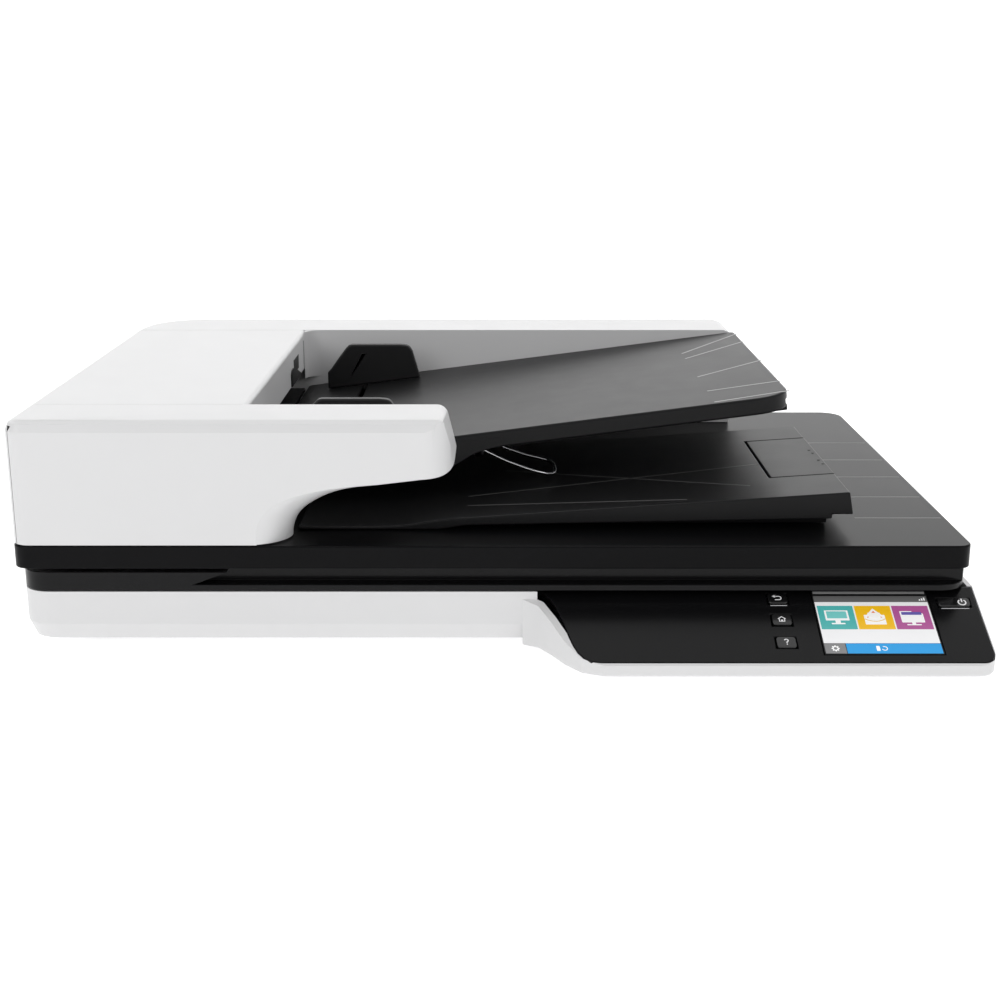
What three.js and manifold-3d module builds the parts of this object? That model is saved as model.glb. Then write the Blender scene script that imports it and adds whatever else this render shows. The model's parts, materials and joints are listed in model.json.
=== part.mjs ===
// Flatbed document scanner with a sheet feeder on its lid and a touch-screen panel.
// Millimetres. +X to the operator's right, +Y to the back, +Z up.
// Origin: centre of the footprint, on the surface that the feet stand on.

import * as THREE from 'three';
import { mergeVertices } from 'three/addons/utils/BufferGeometryUtils.js';
import Module from 'manifold-3d';

const wasm = await Module();
wasm.setup();

// ---------------------------------------------------------------- driving sizes
const WIDTH = 451;
const DEPTH = 351;
const FOOT_HEIGHT = 3;
const SHELL_HEIGHT = 27;
const FRAME_HEIGHT = 9.2;
const LID_GAP = 2;
const LID_HEIGHT = 11;
const FEEDER_HEIGHT = 58.5;

const SEAM = 0.4;
const WALL = 2.5;
const RUNNING_GAP = 0.4;

// Plan of the base and the lid
const PANEL_BULGE = 38.5;
const FEEDER_OVERHANG = 17.5;
const LID_INSET_RIGHT = 3.5;
const BASE_INSET_LEFT = 2;
const BASE_PAST_LID = 4;
const CORNER_RADIUS = 14;
const UNDERCUT = 11;

// Sheet feeder
const HOPPER_FROM_LEFT = 106.5;
const ARM_DEPTH = 39;
const ARM_LENGTH = 100;
const BEAM_DEPTH = 49;
const BEAM_PAST_HOPPER = 265;
const BEAM_END_RADIUS = 10;
const COVER_EDGE = 5;
const HATCH_DROP = 22;

// Input tray, which slopes up to the right
const TRAY_SLOPE = THREE.MathUtils.degToRad(7.3);
const TRAY_THICKNESS = 8.5;
const TRAY_SKIN = 3;
const TRAY_LEFT_TOP = 23.8;
const TRAY_SETBACK = 28;
const TRAY_CORNER = 18;
const GUIDE_LENGTH = 56;
const GUIDE_HEIGHT = 22;
const GUIDE_THICKNESS = 5;
const GUIDE_TRAVEL = 40;

// Output tray, moulded ramp on the lid
const RAMP_FROM_HOPPER = 24;
const RAMP_LENGTH = 264;
const RAMP_WIDTH = 143;
const RAMP_SETBACK = 25.5;
const RAMP_RISE = 19;
const RAMP_LIP = 11;
const STOP_LENGTH = 32;
const STOP_WIDTH = 78;
const STOP_THICKNESS = 2.4;

// Panel
const PANEL_TILT = THREE.MathUtils.degToRad(24);
const PANEL_FRONT_HEIGHT = 5.6;
const PANEL_SKIN = 2.6;
const PANEL_LENGTH = 52;
const SCREEN_WIDTH = 54;
const SCREEN_DEPTH = 42;
const SCREEN_FROM_RIGHT = 23;
const KEY_WIDTH = 9;
const KEY_DEPTH = 7;
const KEY_PROUD = 0.6;

// Platen
const GLASS_THICKNESS = 3;
const GLASS_LENGTH = 330;
const GLASS_FROM_REAR = 42;
const STRIP_LENGTH = 20;
const STRIP_BRIDGE = 12;

// ---------------------------------------------------------------- derived places
const left = -WIDTH / 2;
const right = WIDTH / 2;
const front = -DEPTH / 2;
const rear = DEPTH / 2;

const shellBottom = FOOT_HEIGHT;
const shellTop = shellBottom + SHELL_HEIGHT;
const frameBottom = shellTop + SEAM;
const frameTop = frameBottom + FRAME_HEIGHT;
const lidBottom = frameTop + LID_GAP;
const lidTop = lidBottom + LID_HEIGHT;
const feederBottom = lidTop + SEAM;
const feederTop = feederBottom + FEEDER_HEIGHT;

const lidFront = front + PANEL_BULGE;
const lidRear = rear - FEEDER_OVERHANG;
const lidRight = right - LID_INSET_RIGHT;
const baseLeft = left + BASE_INSET_LEFT;
const baseRight = lidRight;
const baseFront = lidFront + 1;
const baseRear = lidRear + BASE_PAST_LID;

const hopperLeft = left + HOPPER_FROM_LEFT;
const hopperFront = lidFront + ARM_DEPTH;
const hopperRear = rear - BEAM_DEPTH;
const beamRight = hopperLeft + BEAM_PAST_HOPPER;
const armRight = hopperLeft + ARM_LENGTH;
const middleY = (hopperFront + hopperRear) / 2;

// ---------------------------------------------------------------- shape helpers
function toSolid(geometry) {
  geometry.deleteAttribute('normal');
  geometry.deleteAttribute('uv');
  const merged = mergeVertices(geometry, 1e-4);
  return new wasm.Manifold(new wasm.Mesh({
    numProp: 3,
    vertProperties: new Float32Array(merged.attributes.position.array),
    triVerts: new Uint32Array(merged.index.array),
  }));
}

function toGeometry(solid) {
  const mesh = solid.getMesh();
  const geometry = new THREE.BufferGeometry();
  geometry.setAttribute('position', new THREE.BufferAttribute(mesh.vertProperties, 3));
  geometry.setIndex(new THREE.BufferAttribute(mesh.triVerts, 1));
  return geometry;
}

function box(x0, x1, y0, y1, z0, z1) {
  const geometry = new THREE.BoxGeometry(x1 - x0, y1 - y0, z1 - z0);
  geometry.translate((x0 + x1) / 2, (y0 + y1) / 2, (z0 + z1) / 2);
  return toSolid(geometry);
}

// A cylinder along an axis, from one end to the other.
function rod(axis, centre, radius, from, to, sides = 24) {
  const geometry = new THREE.CylinderGeometry(radius, radius, to - from, sides);
  const middle = (from + to) / 2;
  if (axis === 'x') {
    geometry.rotateZ(Math.PI / 2);
    geometry.translate(middle, centre[0], centre[1]);
  } else if (axis === 'y') {
    geometry.translate(centre[0], middle, centre[1]);
  } else {
    geometry.rotateX(Math.PI / 2);
    geometry.translate(centre[0], centre[1], middle);
  }
  return toSolid(geometry);
}

// An outline pushed along an axis: XY along z, XZ along y, YZ along x.
function prism(axis, shape, from, to, curveSegments = 6) {
  const depth = to - from;
  const geometry = new THREE.ExtrudeGeometry(shape, { depth, bevelEnabled: false, curveSegments });
  if (axis === 'z') {
    geometry.translate(0, 0, from);
  } else if (axis === 'y') {
    geometry.rotateX(Math.PI / 2);
    geometry.translate(0, to, 0);
  } else {
    const turn = new THREE.Matrix4().makeBasis(
      new THREE.Vector3(0, 1, 0), new THREE.Vector3(0, 0, 1), new THREE.Vector3(1, 0, 0));
    geometry.applyMatrix4(turn);
    geometry.translate(from, 0, 0);
  }
  return toSolid(geometry);
}

function outline(points) {
  return new THREE.Shape(points.map(([x, y]) => new THREE.Vector2(x, y)));
}

// Corner radii in the order front left, front right, rear right, rear left.
function roundedRect(x0, x1, y0, y1, radii) {
  const [a, b, c, d] = Array.isArray(radii) ? radii : [radii, radii, radii, radii];
  const shape = new THREE.Shape();
  shape.moveTo(x0 + a, y0);
  shape.lineTo(x1 - b, y0);
  shape.absarc(x1 - b, y0 + b, b, -Math.PI / 2, 0, false);
  shape.lineTo(x1, y1 - c);
  shape.absarc(x1 - c, y1 - c, c, 0, Math.PI / 2, false);
  shape.lineTo(x0 + d, y1);
  shape.absarc(x0 + d, y1 - d, d, Math.PI / 2, Math.PI, false);
  shape.lineTo(x0, y0 + a);
  shape.absarc(x0 + a, y0 + a, a, Math.PI, Math.PI * 1.5, false);
  return shape;
}

// An upright block whose top and bottom edges are rounded.
function softBlock(shape, z0, z1, edge, curveSegments = 6) {
  const geometry = new THREE.ExtrudeGeometry(shape, {
    depth: z1 - z0 - 2 * edge,
    bevelEnabled: true,
    bevelThickness: edge,
    bevelSize: edge,
    bevelOffset: -edge,
    bevelSegments: 2,
    curveSegments,
  });
  geometry.translate(0, 0, z0 + edge);
  return toSolid(geometry);
}

// A spur gear blank with straight-sided teeth, along Y.
function gear(centre, teeth, module, turn, y0, y1, bore) {
  const points = [];
  const pitch = (teeth * module) / 2;
  const root = pitch - 1.15 * module;
  const tip = pitch + 0.8 * module;
  const step = (Math.PI * 2) / teeth;
  const toothParts = [[-0.30, root], [-0.12, tip], [0.12, tip], [0.30, root]];
  for (let tooth = 0; tooth < teeth; tooth += 1) {
    for (const [share, radius] of toothParts) {
      const angle = turn + (tooth + share) * step;
      points.push([centre[0] + radius * Math.cos(angle), centre[1] + radius * Math.sin(angle)]);
    }
  }
  const blank = prism('y', outline(points), y0, y1);
  return bore > 0 ? blank.subtract(rod('y', centre, bore, y0 - 1, y1 + 1)) : blank;
}

// The same solid moved by a matrix.
function placed(solid, matrix) {
  const geometry = toGeometry(solid);
  geometry.applyMatrix4(matrix);
  return toSolid(geometry);
}

const model = new THREE.Group();

function material(color, roughness, metalness = 0) {
  return new THREE.MeshStandardMaterial({ color, roughness, metalness });
}

const finishes = {
  white: material(0xf2f2f3, 0.42),
  lightGrey: material(0xb9babc, 0.5),
  charcoal: material(0x2d2e30, 0.55),
  tray: material(0x3c3d3f, 0.6),
  gloss: material(0x101114, 0.12),
  glass: material(0xa9c4bd, 0.05),
  screen: material(0xe6ebee, 0.15),
  steel: material(0xb8babd, 0.28, 1),
  rubber: material(0x232325, 0.85),
  gear: material(0xe2ddcc, 0.5),
  board: material(0x1d5b3c, 0.5),
  foam: material(0xf5f4ef, 0.8),
  port: material(0x1b1b1d, 0.5),
  keyBlack: material(0x17181a, 0.3),
};

function part(name, solid, finish, parent = model) {
  const mesh = new THREE.Mesh(toGeometry(solid), finishes[finish]);
  mesh.name = name;
  parent.add(mesh);
}

// ---------------------------------------------------------------- base
const bulgeStart = left + 238;
const bulgeFull = bulgeStart + 36;
const panelTopY = front + 1.5 + PANEL_LENGTH * Math.cos(PANEL_TILT);

// Plan of the housing that carries the panel: an S-curve out of the front wall.
function bulgePlan(inset) {
  const x0 = bulgeStart + inset;
  const x1 = bulgeFull + inset;
  const y0 = front + inset;
  const yBack = panelTopY + 14 - inset;
  const xRight = right - inset;
  const wallY = baseFront + inset;
  const turn = Math.max(9 - inset, 2);
  const shape = new THREE.Shape();
  shape.moveTo(x0, yBack);
  shape.lineTo(x0, wallY);
  shape.bezierCurveTo(x0 + 14, wallY, x1 - 20, y0, x1, y0);
  shape.lineTo(xRight - turn, y0);
  shape.absarc(xRight - turn, y0 + turn, turn, -Math.PI / 2, 0, false);
  shape.lineTo(xRight, yBack);
  return shape;
}

const panelTurn = new THREE.Matrix4()
  .makeTranslation(0, front, shellBottom + PANEL_FRONT_HEIGHT)
  .multiply(new THREE.Matrix4().makeRotationX(PANEL_TILT));

function panelPlaced(solid) {
  return placed(solid, panelTurn);
}

// The half space under the panel's face, lowered by a depth measured square to it.
function underPanel(depth) {
  const drop = depth / Math.cos(PANEL_TILT);
  const faceStart = shellBottom + PANEL_FRONT_HEIGHT - drop;
  const run = panelTopY + 30 - (front - 10);
  const y0 = front - 10;
  const z0 = faceStart - 10 * Math.tan(PANEL_TILT);
  const z1 = z0 + run * Math.tan(PANEL_TILT);
  return prism('x', outline([[y0, -20], [y0 + run, -20], [y0 + run, z1], [y0, z0]]), left, right + 10);
}

// Outline of the glossy cover on the flat: x across, y up the slope from the front edge.
function coverShape(grow) {
  const x0 = bulgeStart - 2 - grow;
  const x1 = right - 0.8 + grow;
  const low = 2 - grow;
  const shape = new THREE.Shape();
  shape.moveTo(x0, PANEL_LENGTH + grow);
  shape.bezierCurveTo(x0 + 16, PANEL_LENGTH - 2, x0 + 17, PANEL_LENGTH - 12, x0 + 21, PANEL_LENGTH - 26);
  shape.bezierCurveTo(x0 + 25, PANEL_LENGTH - 42, x0 + 27, low, x0 + 37, low);
  shape.lineTo(x1 - 6, low);
  shape.absarc(x1 - 6, low + 6, 6, -Math.PI / 2, 0, false);
  shape.lineTo(x1, PANEL_LENGTH + grow);
  return shape;
}

function buildBaseShell() {
  const plan = roundedRect(baseLeft, baseRight, baseFront, baseRear, CORNER_RADIUS);
  const outer = softBlock(plan, shellBottom, shellTop + 2 * UNDERCUT, UNDERCUT, 4)
    .intersect(box(left, right, front, rear, shellBottom, shellTop));
  const bulge = softBlock(bulgePlan(0), shellBottom, shellTop + 10, 1.5, 5)
    .intersect(box(left, right + 1, front, rear, shellBottom, shellTop))
    .intersect(underPanel(0));
  const innerPlan = roundedRect(baseLeft + WALL, baseRight - WALL, baseFront + WALL, baseRear - WALL,
    CORNER_RADIUS - WALL);
  const cavity = softBlock(innerPlan, shellBottom + WALL, shellTop + 2 * UNDERCUT, UNDERCUT - WALL, 4);
  const bulgeCavity = prism('z', bulgePlan(WALL), shellBottom + WALL, shellTop + 10, 5);
  const doorway = box(bulgeFull, right - WALL - SEAM, front + 14, baseFront + 20, shellBottom + WALL,
    shellTop + 5);
  const coverPocket = panelPlaced(prism('z', coverShape(SEAM), -PANEL_SKIN - SEAM, 40));
  return outer.add(bulge).subtract(cavity).subtract(bulgeCavity).subtract(doorway)
    .subtract(coverPocket).subtract(portSlots());
}

// Sockets in the rear wall: [centre x, width, height, height of centre]
const portRow = {
  dc_inlet: [right - 100, 12, 11, shellBottom + 14],
  usb_port: [right - 135, 14, 12, shellBottom + 14],
  network_port: [right - 170, 17, 14, shellBottom + 14],
};
const PORT_DEPTH = 14;

function portSlots() {
  const slots = Object.values(portRow).map(([x, width, height, z]) =>
    box(x - width / 2 - SEAM, x + width / 2 + SEAM, baseRear - PORT_DEPTH - 1, baseRear + 5,
      z - height / 2 - SEAM, z + height / 2 + SEAM));
  return slots[0].add(slots[1]).add(slots[2]);
}

function buildPort([x, width, height, z], hollow) {
  const outer = box(x - width / 2, x + width / 2, baseRear - PORT_DEPTH, baseRear - 0.6,
    z - height / 2, z + height / 2);
  return outer.subtract(hollow);
}

const hingeSpots = [left + 75, right - 60];
const FRAME_SKIN = 4.5;
const FRAME_REAR_WALL = 3;
const hingeY = lidRear - 4;
const KNUCKLE_RADIUS = 3.5;
const hingeZ = lidTop - WALL - RUNNING_GAP - KNUCKLE_RADIUS;
const POST_WIDTH = 12;
const POST_DEPTH = 7;

function postHole(x, margin) {
  return box(x - POST_WIDTH / 2 - margin, x + POST_WIDTH / 2 + margin,
    hingeY - POST_DEPTH / 2 - margin, hingeY + POST_DEPTH / 2 + margin, frameBottom - 5, lidTop);
}

const glassLeft = left + 56;
const glassRight = glassLeft + GLASS_LENGTH;
const glassFront = baseFront + 34;
const glassRear = baseRear - GLASS_FROM_REAR;
const stripRight = glassLeft - STRIP_BRIDGE;
const stripLeft = stripRight - STRIP_LENGTH;
const glassSeat = frameTop - GLASS_THICKNESS;

function buildTopFrame() {
  const plan = roundedRect(baseLeft, baseRight, baseFront, baseRear, CORNER_RADIUS);
  const plate = prism('z', plan, frameBottom, frameTop);
  const innerPlan = roundedRect(baseLeft + 4, baseRight - 4, baseFront + 12, baseRear - FRAME_REAR_WALL,
    CORNER_RADIUS - 4);
  const hollow = prism('z', innerPlan, frameBottom - 1, frameTop - FRAME_SKIN);
  const seat = box(glassLeft - SEAM, glassRight + SEAM, glassFront - SEAM, glassRear + SEAM,
    glassSeat - SEAM, frameTop + 1);
  const opening = box(glassLeft + 4, glassRight - 4, glassFront + 4, glassRear - 4, frameBottom - 1,
    frameTop + 1);
  const stripSeat = box(stripLeft - SEAM, stripRight + SEAM, glassFront - SEAM, glassRear + SEAM,
    glassSeat - SEAM, frameTop + 1);
  const stripOpening = box(stripLeft + 3, stripRight - 3, glassFront + 4, glassRear - 4,
    frameBottom - 1, frameTop + 1);
  const fingerStart = left + 84;
  const finger = prism('y', outline([[fingerStart, frameBottom + 3], [right, frameBottom + 3],
    [right, frameTop + 1], [fingerStart + 18, frameTop + 1], [fingerStart + 14, frameTop - 1]]),
    baseFront - 1, baseFront + 7);
  let frame = plate.subtract(hollow).subtract(seat).subtract(opening)
    .subtract(stripSeat).subtract(stripOpening).subtract(finger);
  for (const x of hingeSpots) {
    frame = frame.subtract(postHole(x, RUNNING_GAP));
  }
  return frame;
}

const socketBottom = shellBottom + UNDERCUT + 1;

function buildHingeSocket(x) {
  const margin = RUNNING_GAP;
  const outer = box(x - POST_WIDTH / 2 - 3, x + POST_WIDTH / 2 + 3,
    hingeY - POST_DEPTH / 2 - 3, baseRear - FRAME_REAR_WALL - SEAM, socketBottom, frameBottom + 3);
  const well = box(x - POST_WIDTH / 2 - margin, x + POST_WIDTH / 2 + margin,
    hingeY - POST_DEPTH / 2 - margin, hingeY + POST_DEPTH / 2 + margin, socketBottom + 2, frameBottom + 9);
  return outer.subtract(well);
}

const POST_FOOT = socketBottom + 2.5;
const PIN_RADIUS = 1.5;

function buildHingePost(x) {
  const post = box(x - POST_WIDTH / 2, x + POST_WIDTH / 2, hingeY - POST_DEPTH / 2, hingeY + POST_DEPTH / 2,
    POST_FOOT, hingeZ);
  const knuckle = rod('x', [hingeY, hingeZ], KNUCKLE_RADIUS, x - POST_WIDTH / 2, x + POST_WIDTH / 2);
  const hole = rod('x', [hingeY, hingeZ], PIN_RADIUS + 0.3, x - POST_WIDTH, x + POST_WIDTH);
  return post.add(knuckle).subtract(hole);
}

function buildHingePin(x) {
  return rod('x', [hingeY, hingeZ], PIN_RADIUS, x - POST_WIDTH / 2 - 4, x + POST_WIDTH / 2 + 4);
}

part('base_shell', buildBaseShell(), 'white');
part('base_top_frame', buildTopFrame(), 'gloss');
part('platen_glass', box(glassLeft, glassRight, glassFront, glassRear, glassSeat, frameTop), 'glass');
part('feed_glass_strip', box(stripLeft, stripRight, glassFront, glassRear, glassSeat, frameTop), 'glass');

const sideNames = ['left', 'right'];
hingeSpots.forEach((x, index) => {
  part(`hinge_socket_${sideNames[index]}`, buildHingeSocket(x), 'charcoal');
  part(`hinge_post_${sideNames[index]}`, buildHingePost(x), 'charcoal');
  part(`hinge_pin_${sideNames[index]}`, buildHingePin(x), 'steel');
});

const FOOT_RADIUS = 8;
const footSpots = [
  [baseLeft + 34, baseFront + 34],
  [baseRight - 34, baseFront + 34],
  [baseRight - 34, baseRear - 34],
  [baseLeft + 34, baseRear - 34],
];
footSpots.forEach(([x, y], index) => {
  const pad = rod('z', [x, y], FOOT_RADIUS, 0, FOOT_HEIGHT - 0.3);
  part(`rubber_foot_${index + 1}`, pad, 'rubber');
});

{
  const [dcX, dcWidth, dcHeight, dcZ] = portRow.dc_inlet;
  const barrel = rod('y', [dcX, dcZ], 4.2, baseRear - 11, baseRear + 1)
    .subtract(rod('y', [dcX, dcZ], 1.1, baseRear - 12, baseRear - 2));
  part('dc_inlet', buildPort([dcX, dcWidth, dcHeight, dcZ], barrel), 'port');
  const [usbX, , , usbZ] = portRow.usb_port;
  const usbMouth = box(usbX - 5.5, usbX + 5.5, baseRear - 11, baseRear + 1, usbZ - 4.5, usbZ + 4.5)
    .subtract(box(usbX - 2.8, usbX + 2.8, baseRear - 12, baseRear - 2, usbZ - 1.6, usbZ + 1.6));
  part('usb_port', buildPort(portRow.usb_port, usbMouth), 'steel');
  const [lanX, , , lanZ] = portRow.network_port;
  const lanMouth = box(lanX - 6.5, lanX + 6.5, baseRear - 12, baseRear + 1, lanZ - 5, lanZ + 4);
  part('network_port', buildPort(portRow.network_port, lanMouth), 'steel');
}

// ---------------------------------------------------------------- scan carriage and its drive
const RAIL_RADIUS = 3;
const railY = (glassFront + glassRear) / 2 + 8;
const railZ = shellBottom + WALL + 7;
const carriageHome = stripLeft - 1;
const CARRIAGE_LENGTH = 22;
const carriageTop = frameTop - FRAME_SKIN - 0.5;

function buildCarriage() {
  const bar = box(carriageHome, carriageHome + CARRIAGE_LENGTH, glassFront + 6, glassRear - 6,
    carriageTop - 14, carriageTop);
  const block = box(carriageHome, carriageHome + CARRIAGE_LENGTH, railY - 8, railY + 8,
    railZ - 6, carriageTop - 13);
  const bore = rod('x', [railY, railZ], RAIL_RADIUS + RUNNING_GAP, left, right);
  const trough = box(carriageHome + 3, carriageHome + CARRIAGE_LENGTH - 3, glassFront + 9, glassRear - 9,
    carriageTop - 11, carriageTop + 1);
  return bar.add(block).subtract(bore).subtract(trough);
}

function buildImageSensor() {
  return box(carriageHome + 3 + SEAM, carriageHome + CARRIAGE_LENGTH - 3 - SEAM,
    glassFront + 9 + SEAM, glassRear - 9 - SEAM, carriageTop - 11 + SEAM, carriageTop - 0.5);
}

part('carriage_rod', rod('x', [railY, railZ], RAIL_RADIUS, baseLeft + UNDERCUT, baseRight - UNDERCUT),
  'steel');
part('scan_carriage', buildCarriage(), 'charcoal');
part('image_sensor', buildImageSensor(), 'charcoal');

const PULLEY_RADIUS = 5;
const BELT_THICKNESS = 1.2;
const beltY = railY + 22;
const beltZ = railZ + 1;
const idlerX = baseLeft + 20;
const driveX = baseRight - 32;

function buildBelt() {
  const loop = (grow) => {
    const radius = PULLEY_RADIUS + SEAM + grow;
    const shape = new THREE.Shape();
    shape.moveTo(idlerX, beltZ - radius);
    shape.lineTo(driveX, beltZ - radius);
    shape.absarc(driveX, beltZ, radius, -Math.PI / 2, Math.PI / 2, false);
    shape.lineTo(idlerX, beltZ + radius);
    shape.absarc(idlerX, beltZ, radius, Math.PI / 2, Math.PI * 1.5, false);
    return shape;
  };
  return prism('y', loop(BELT_THICKNESS), beltY - 3, beltY + 3)
    .subtract(prism('y', loop(0), beltY - 4, beltY + 4));
}

function buildPulley(x, shaftFrom, shaftTo) {
  return rod('y', [x, beltZ], PULLEY_RADIUS, beltY - 3.6, beltY + 3.6)
    .add(rod('y', [x, beltZ], 1.5, shaftFrom, shaftTo, 12));
}

const driveMotorEnd = beltY + 8;
part('drive_belt', buildBelt(), 'rubber');
part('drive_pulley', buildPulley(driveX, beltY - 6, driveMotorEnd - 0.6), 'steel');
part('idler_pulley', buildPulley(idlerX, beltY - 6, beltY + 6), 'gear');
part('carriage_motor', rod('y', [driveX, beltZ + 2.5], 10, driveMotorEnd, driveMotorEnd + 16), 'steel');

part('main_board', box(right - 185, right - 88, baseRear - 60, baseRear - PORT_DEPTH - 4,
  shellBottom + WALL + 1, shellBottom + WALL + 2.6), 'board');

// ---------------------------------------------------------------- panel
const panel = new THREE.Group();
panel.position.set(0, front, shellBottom + PANEL_FRONT_HEIGHT);
panel.rotation.x = PANEL_TILT;
model.add(panel);

// Places on the panel: x across, then the distance up the slope from the front edge.
const screenX = right - SCREEN_FROM_RIGHT - SCREEN_WIDTH / 2;
const screenS = 28.5;
const screenBox = [screenX - SCREEN_WIDTH / 2, screenX + SCREEN_WIDTH / 2,
  screenS - SCREEN_DEPTH / 2, screenS + SCREEN_DEPTH / 2];
const keyX = screenX - SCREEN_WIDTH / 2 - 16.5;
const keys = {
  back_key: [keyX, 43.7, KEY_WIDTH, KEY_DEPTH],
  home_key: [keyX, 29.4, KEY_WIDTH, KEY_DEPTH],
  help_key: [keyX, 14.6, KEY_WIDTH, KEY_DEPTH],
  power_key: [right - 11.5, 41, 15, 5.5],
};

// The cover is built on the flat and carries every pocket of the screen and keys.
function buildPanelCover() {
  let cover = prism('z', coverShape(0), -PANEL_SKIN, 0);
  const [sx0, sx1, sy0, sy1] = screenBox;
  cover = cover.subtract(box(sx0 - SEAM, sx1 + SEAM, sy0 - SEAM, sy1 + SEAM, -PANEL_SKIN - 1, 1));
  for (const [x, s, width, depth] of Object.values(keys)) {
    cover = cover.subtract(box(x - width / 2 - SEAM, x + width / 2 + SEAM,
      s - depth / 2 - SEAM, s + depth / 2 + SEAM, -PANEL_SKIN - 1, 1));
  }
  return cover;
}

function buildKey([x, s, width, depth]) {
  const plan = roundedRect(x - width / 2, x + width / 2, s - depth / 2, s + depth / 2, 1.6);
  return prism('z', plan, -PANEL_SKIN, KEY_PROUD, 3);
}

part('panel_cover', buildPanelCover(), 'gloss', panel);
part('display_screen', box(...screenBox, -PANEL_SKIN - 0.6, -0.2), 'screen', panel);
for (const [name, place] of Object.entries(keys)) {
  part(name, buildKey(place), 'keyBlack', panel);
}
part('control_board', box(keyX - 14, right - 16, 16, 44, -PANEL_SKIN - 5.6, -PANEL_SKIN - 4), 'board', panel);

// ---------------------------------------------------------------- lid
function buildLidTop() {
  const plan = roundedRect(left, lidRight, lidFront, lidRear, [8, 7, 13, CORNER_RADIUS]);
  const outer = prism('z', plan, lidBottom, lidTop);
  const innerPlan = roundedRect(left + WALL, lidRight - WALL, lidFront + WALL, lidRear - WALL, 5);
  let shell = outer.subtract(prism('z', innerPlan, lidBottom - 1, lidTop - WALL));
  for (const x of hingeSpots) {
    shell = shell.subtract(box(x - POST_WIDTH / 2 - 1, x + POST_WIDTH / 2 + 1, lidRear - WALL - 1,
      lidRear + 1, lidBottom - 1, lidTop - WALL));
    for (const side of [-1, 1]) {
      const x0 = x + side * (POST_WIDTH / 2 + 3);
      const lug = box(x0 - 2, x0 + 2, hingeY - 4, hingeY + 4, lidBottom + 0.3, lidTop - 1);
      shell = shell.add(lug);
    }
    shell = shell.subtract(rod('x', [hingeY, hingeZ], PIN_RADIUS + 0.3, x - POST_WIDTH, x + POST_WIDTH));
  }
  return shell;
}

function buildLidUnderside() {
  const inset = WALL + SEAM;
  const plate = prism('z', roundedRect(left + inset, lidRight - inset, lidFront + inset, hingeY - 6, 4),
    lidBottom, lidBottom + 2);
  return plate;
}

part('lid_top', buildLidTop(), 'gloss');
part('lid_underside', buildLidUnderside(), 'lightGrey');
part('document_pad', box(glassLeft - 2, glassRight + 2, glassFront - 2, glassRear + 2,
  frameTop + SEAM, lidBottom - SEAM), 'foam');

// ---------------------------------------------------------------- feeder covers
const coverTop = feederTop;
const archLeft = hopperLeft + 8;
const archRight = armRight - 1;
const armBottom = feederBottom + 30;

// The front arm from the front: straight left side, flat top and an S-curve over the output bay.
function armProfile(grow) {
  const shape = new THREE.Shape();
  shape.moveTo(left + grow, feederBottom - (grow > 0 ? 10 : 0));
  shape.lineTo(archLeft - grow, feederBottom - (grow > 0 ? 10 : 0));
  shape.lineTo(archLeft - grow, feederBottom + 4);
  shape.bezierCurveTo(archLeft - grow, feederBottom + 24 + grow,
    archLeft + 30, armBottom - 3 + grow, archLeft + 56, armBottom - 1 + grow);
  shape.lineTo(archRight - 14, armBottom + 1.5 + grow);
  shape.bezierCurveTo(archRight - 5, armBottom + 2 + grow, armRight - grow, armBottom + 3 + grow,
    armRight - grow, armBottom + 9 + grow);
  shape.lineTo(armRight - 5 - grow, coverTop - grow);
  shape.lineTo(left + grow, coverTop - grow);
  return shape;
}

// Plan of the feeder: left block, front arm and rear beam around the hopper.
function feederPlan() {
  return roundedRect(left, beamRight, lidFront, rear, [9, BEAM_END_RADIUS, BEAM_END_RADIUS, 40]);
}

function buildFeederHousing() {
  const block = softBlock(feederPlan(), feederBottom - 10, coverTop, COVER_EDGE)
    .intersect(box(left, right, front, rear, feederBottom, coverTop + 1));
  const frontZone = prism('y', armProfile(0), lidFront, hopperFront, 14)
    .intersect(prism('z', roundedRect(left - 20, armRight, lidFront, hopperFront, [2, 14, 4, 2]),
      feederBottom, coverTop + 1));
  const beamZone = box(left, beamRight, hopperRear, rear, feederBottom, coverTop + 1);
  const sideZone = box(left, left + WALL, hopperFront - 1, hopperRear + 1, feederBottom,
    coverTop - HATCH_DROP - SEAM);
  const zones = frontZone.add(beamZone).add(sideZone);
  const frontHollow = prism('y', armProfile(WALL), lidFront + WALL, hopperFront - WALL)
    .intersect(box(left + WALL, armRight - 8, front, rear, feederBottom - 1, coverTop - WALL));
  const doorway = box(left + WALL, hopperLeft - 4, hopperFront - WALL - 1, hopperFront + 1,
    feederBottom - 1, coverTop - COVER_EDGE - WALL)
    .add(box(hopperLeft - 10, archLeft - WALL - 1, hopperFront - WALL - 1, hopperFront + 1,
      feederBottom - 1, feederBottom + 18));
  const beamHollow = prism('z', roundedRect(left + WALL, beamRight - WALL, hopperRear + WALL, rear - WALL,
    [1, 6, 8, 38]), feederBottom - 1, coverTop - WALL);
  return block.intersect(zones).subtract(frontHollow).subtract(doorway).subtract(beamHollow);
}

const hatchFront = hopperFront + SEAM;
const hatchRear = hopperRear - SEAM;
const hatchBottom = coverTop - HATCH_DROP;

// Top cover of the left block: it wraps down the side and forms the hopper's left wall.
function buildHatch() {
  const block = softBlock(feederPlan(), feederBottom - 10, coverTop, COVER_EDGE)
    .intersect(box(left, hopperLeft, hatchFront, hatchRear, hatchBottom, coverTop + 1));
  const inside = box(left + WALL, hopperLeft - WALL, hatchFront - 1, hatchRear + 1, hatchBottom - 1,
    coverTop - WALL);
  return block.subtract(inside);
}

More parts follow.
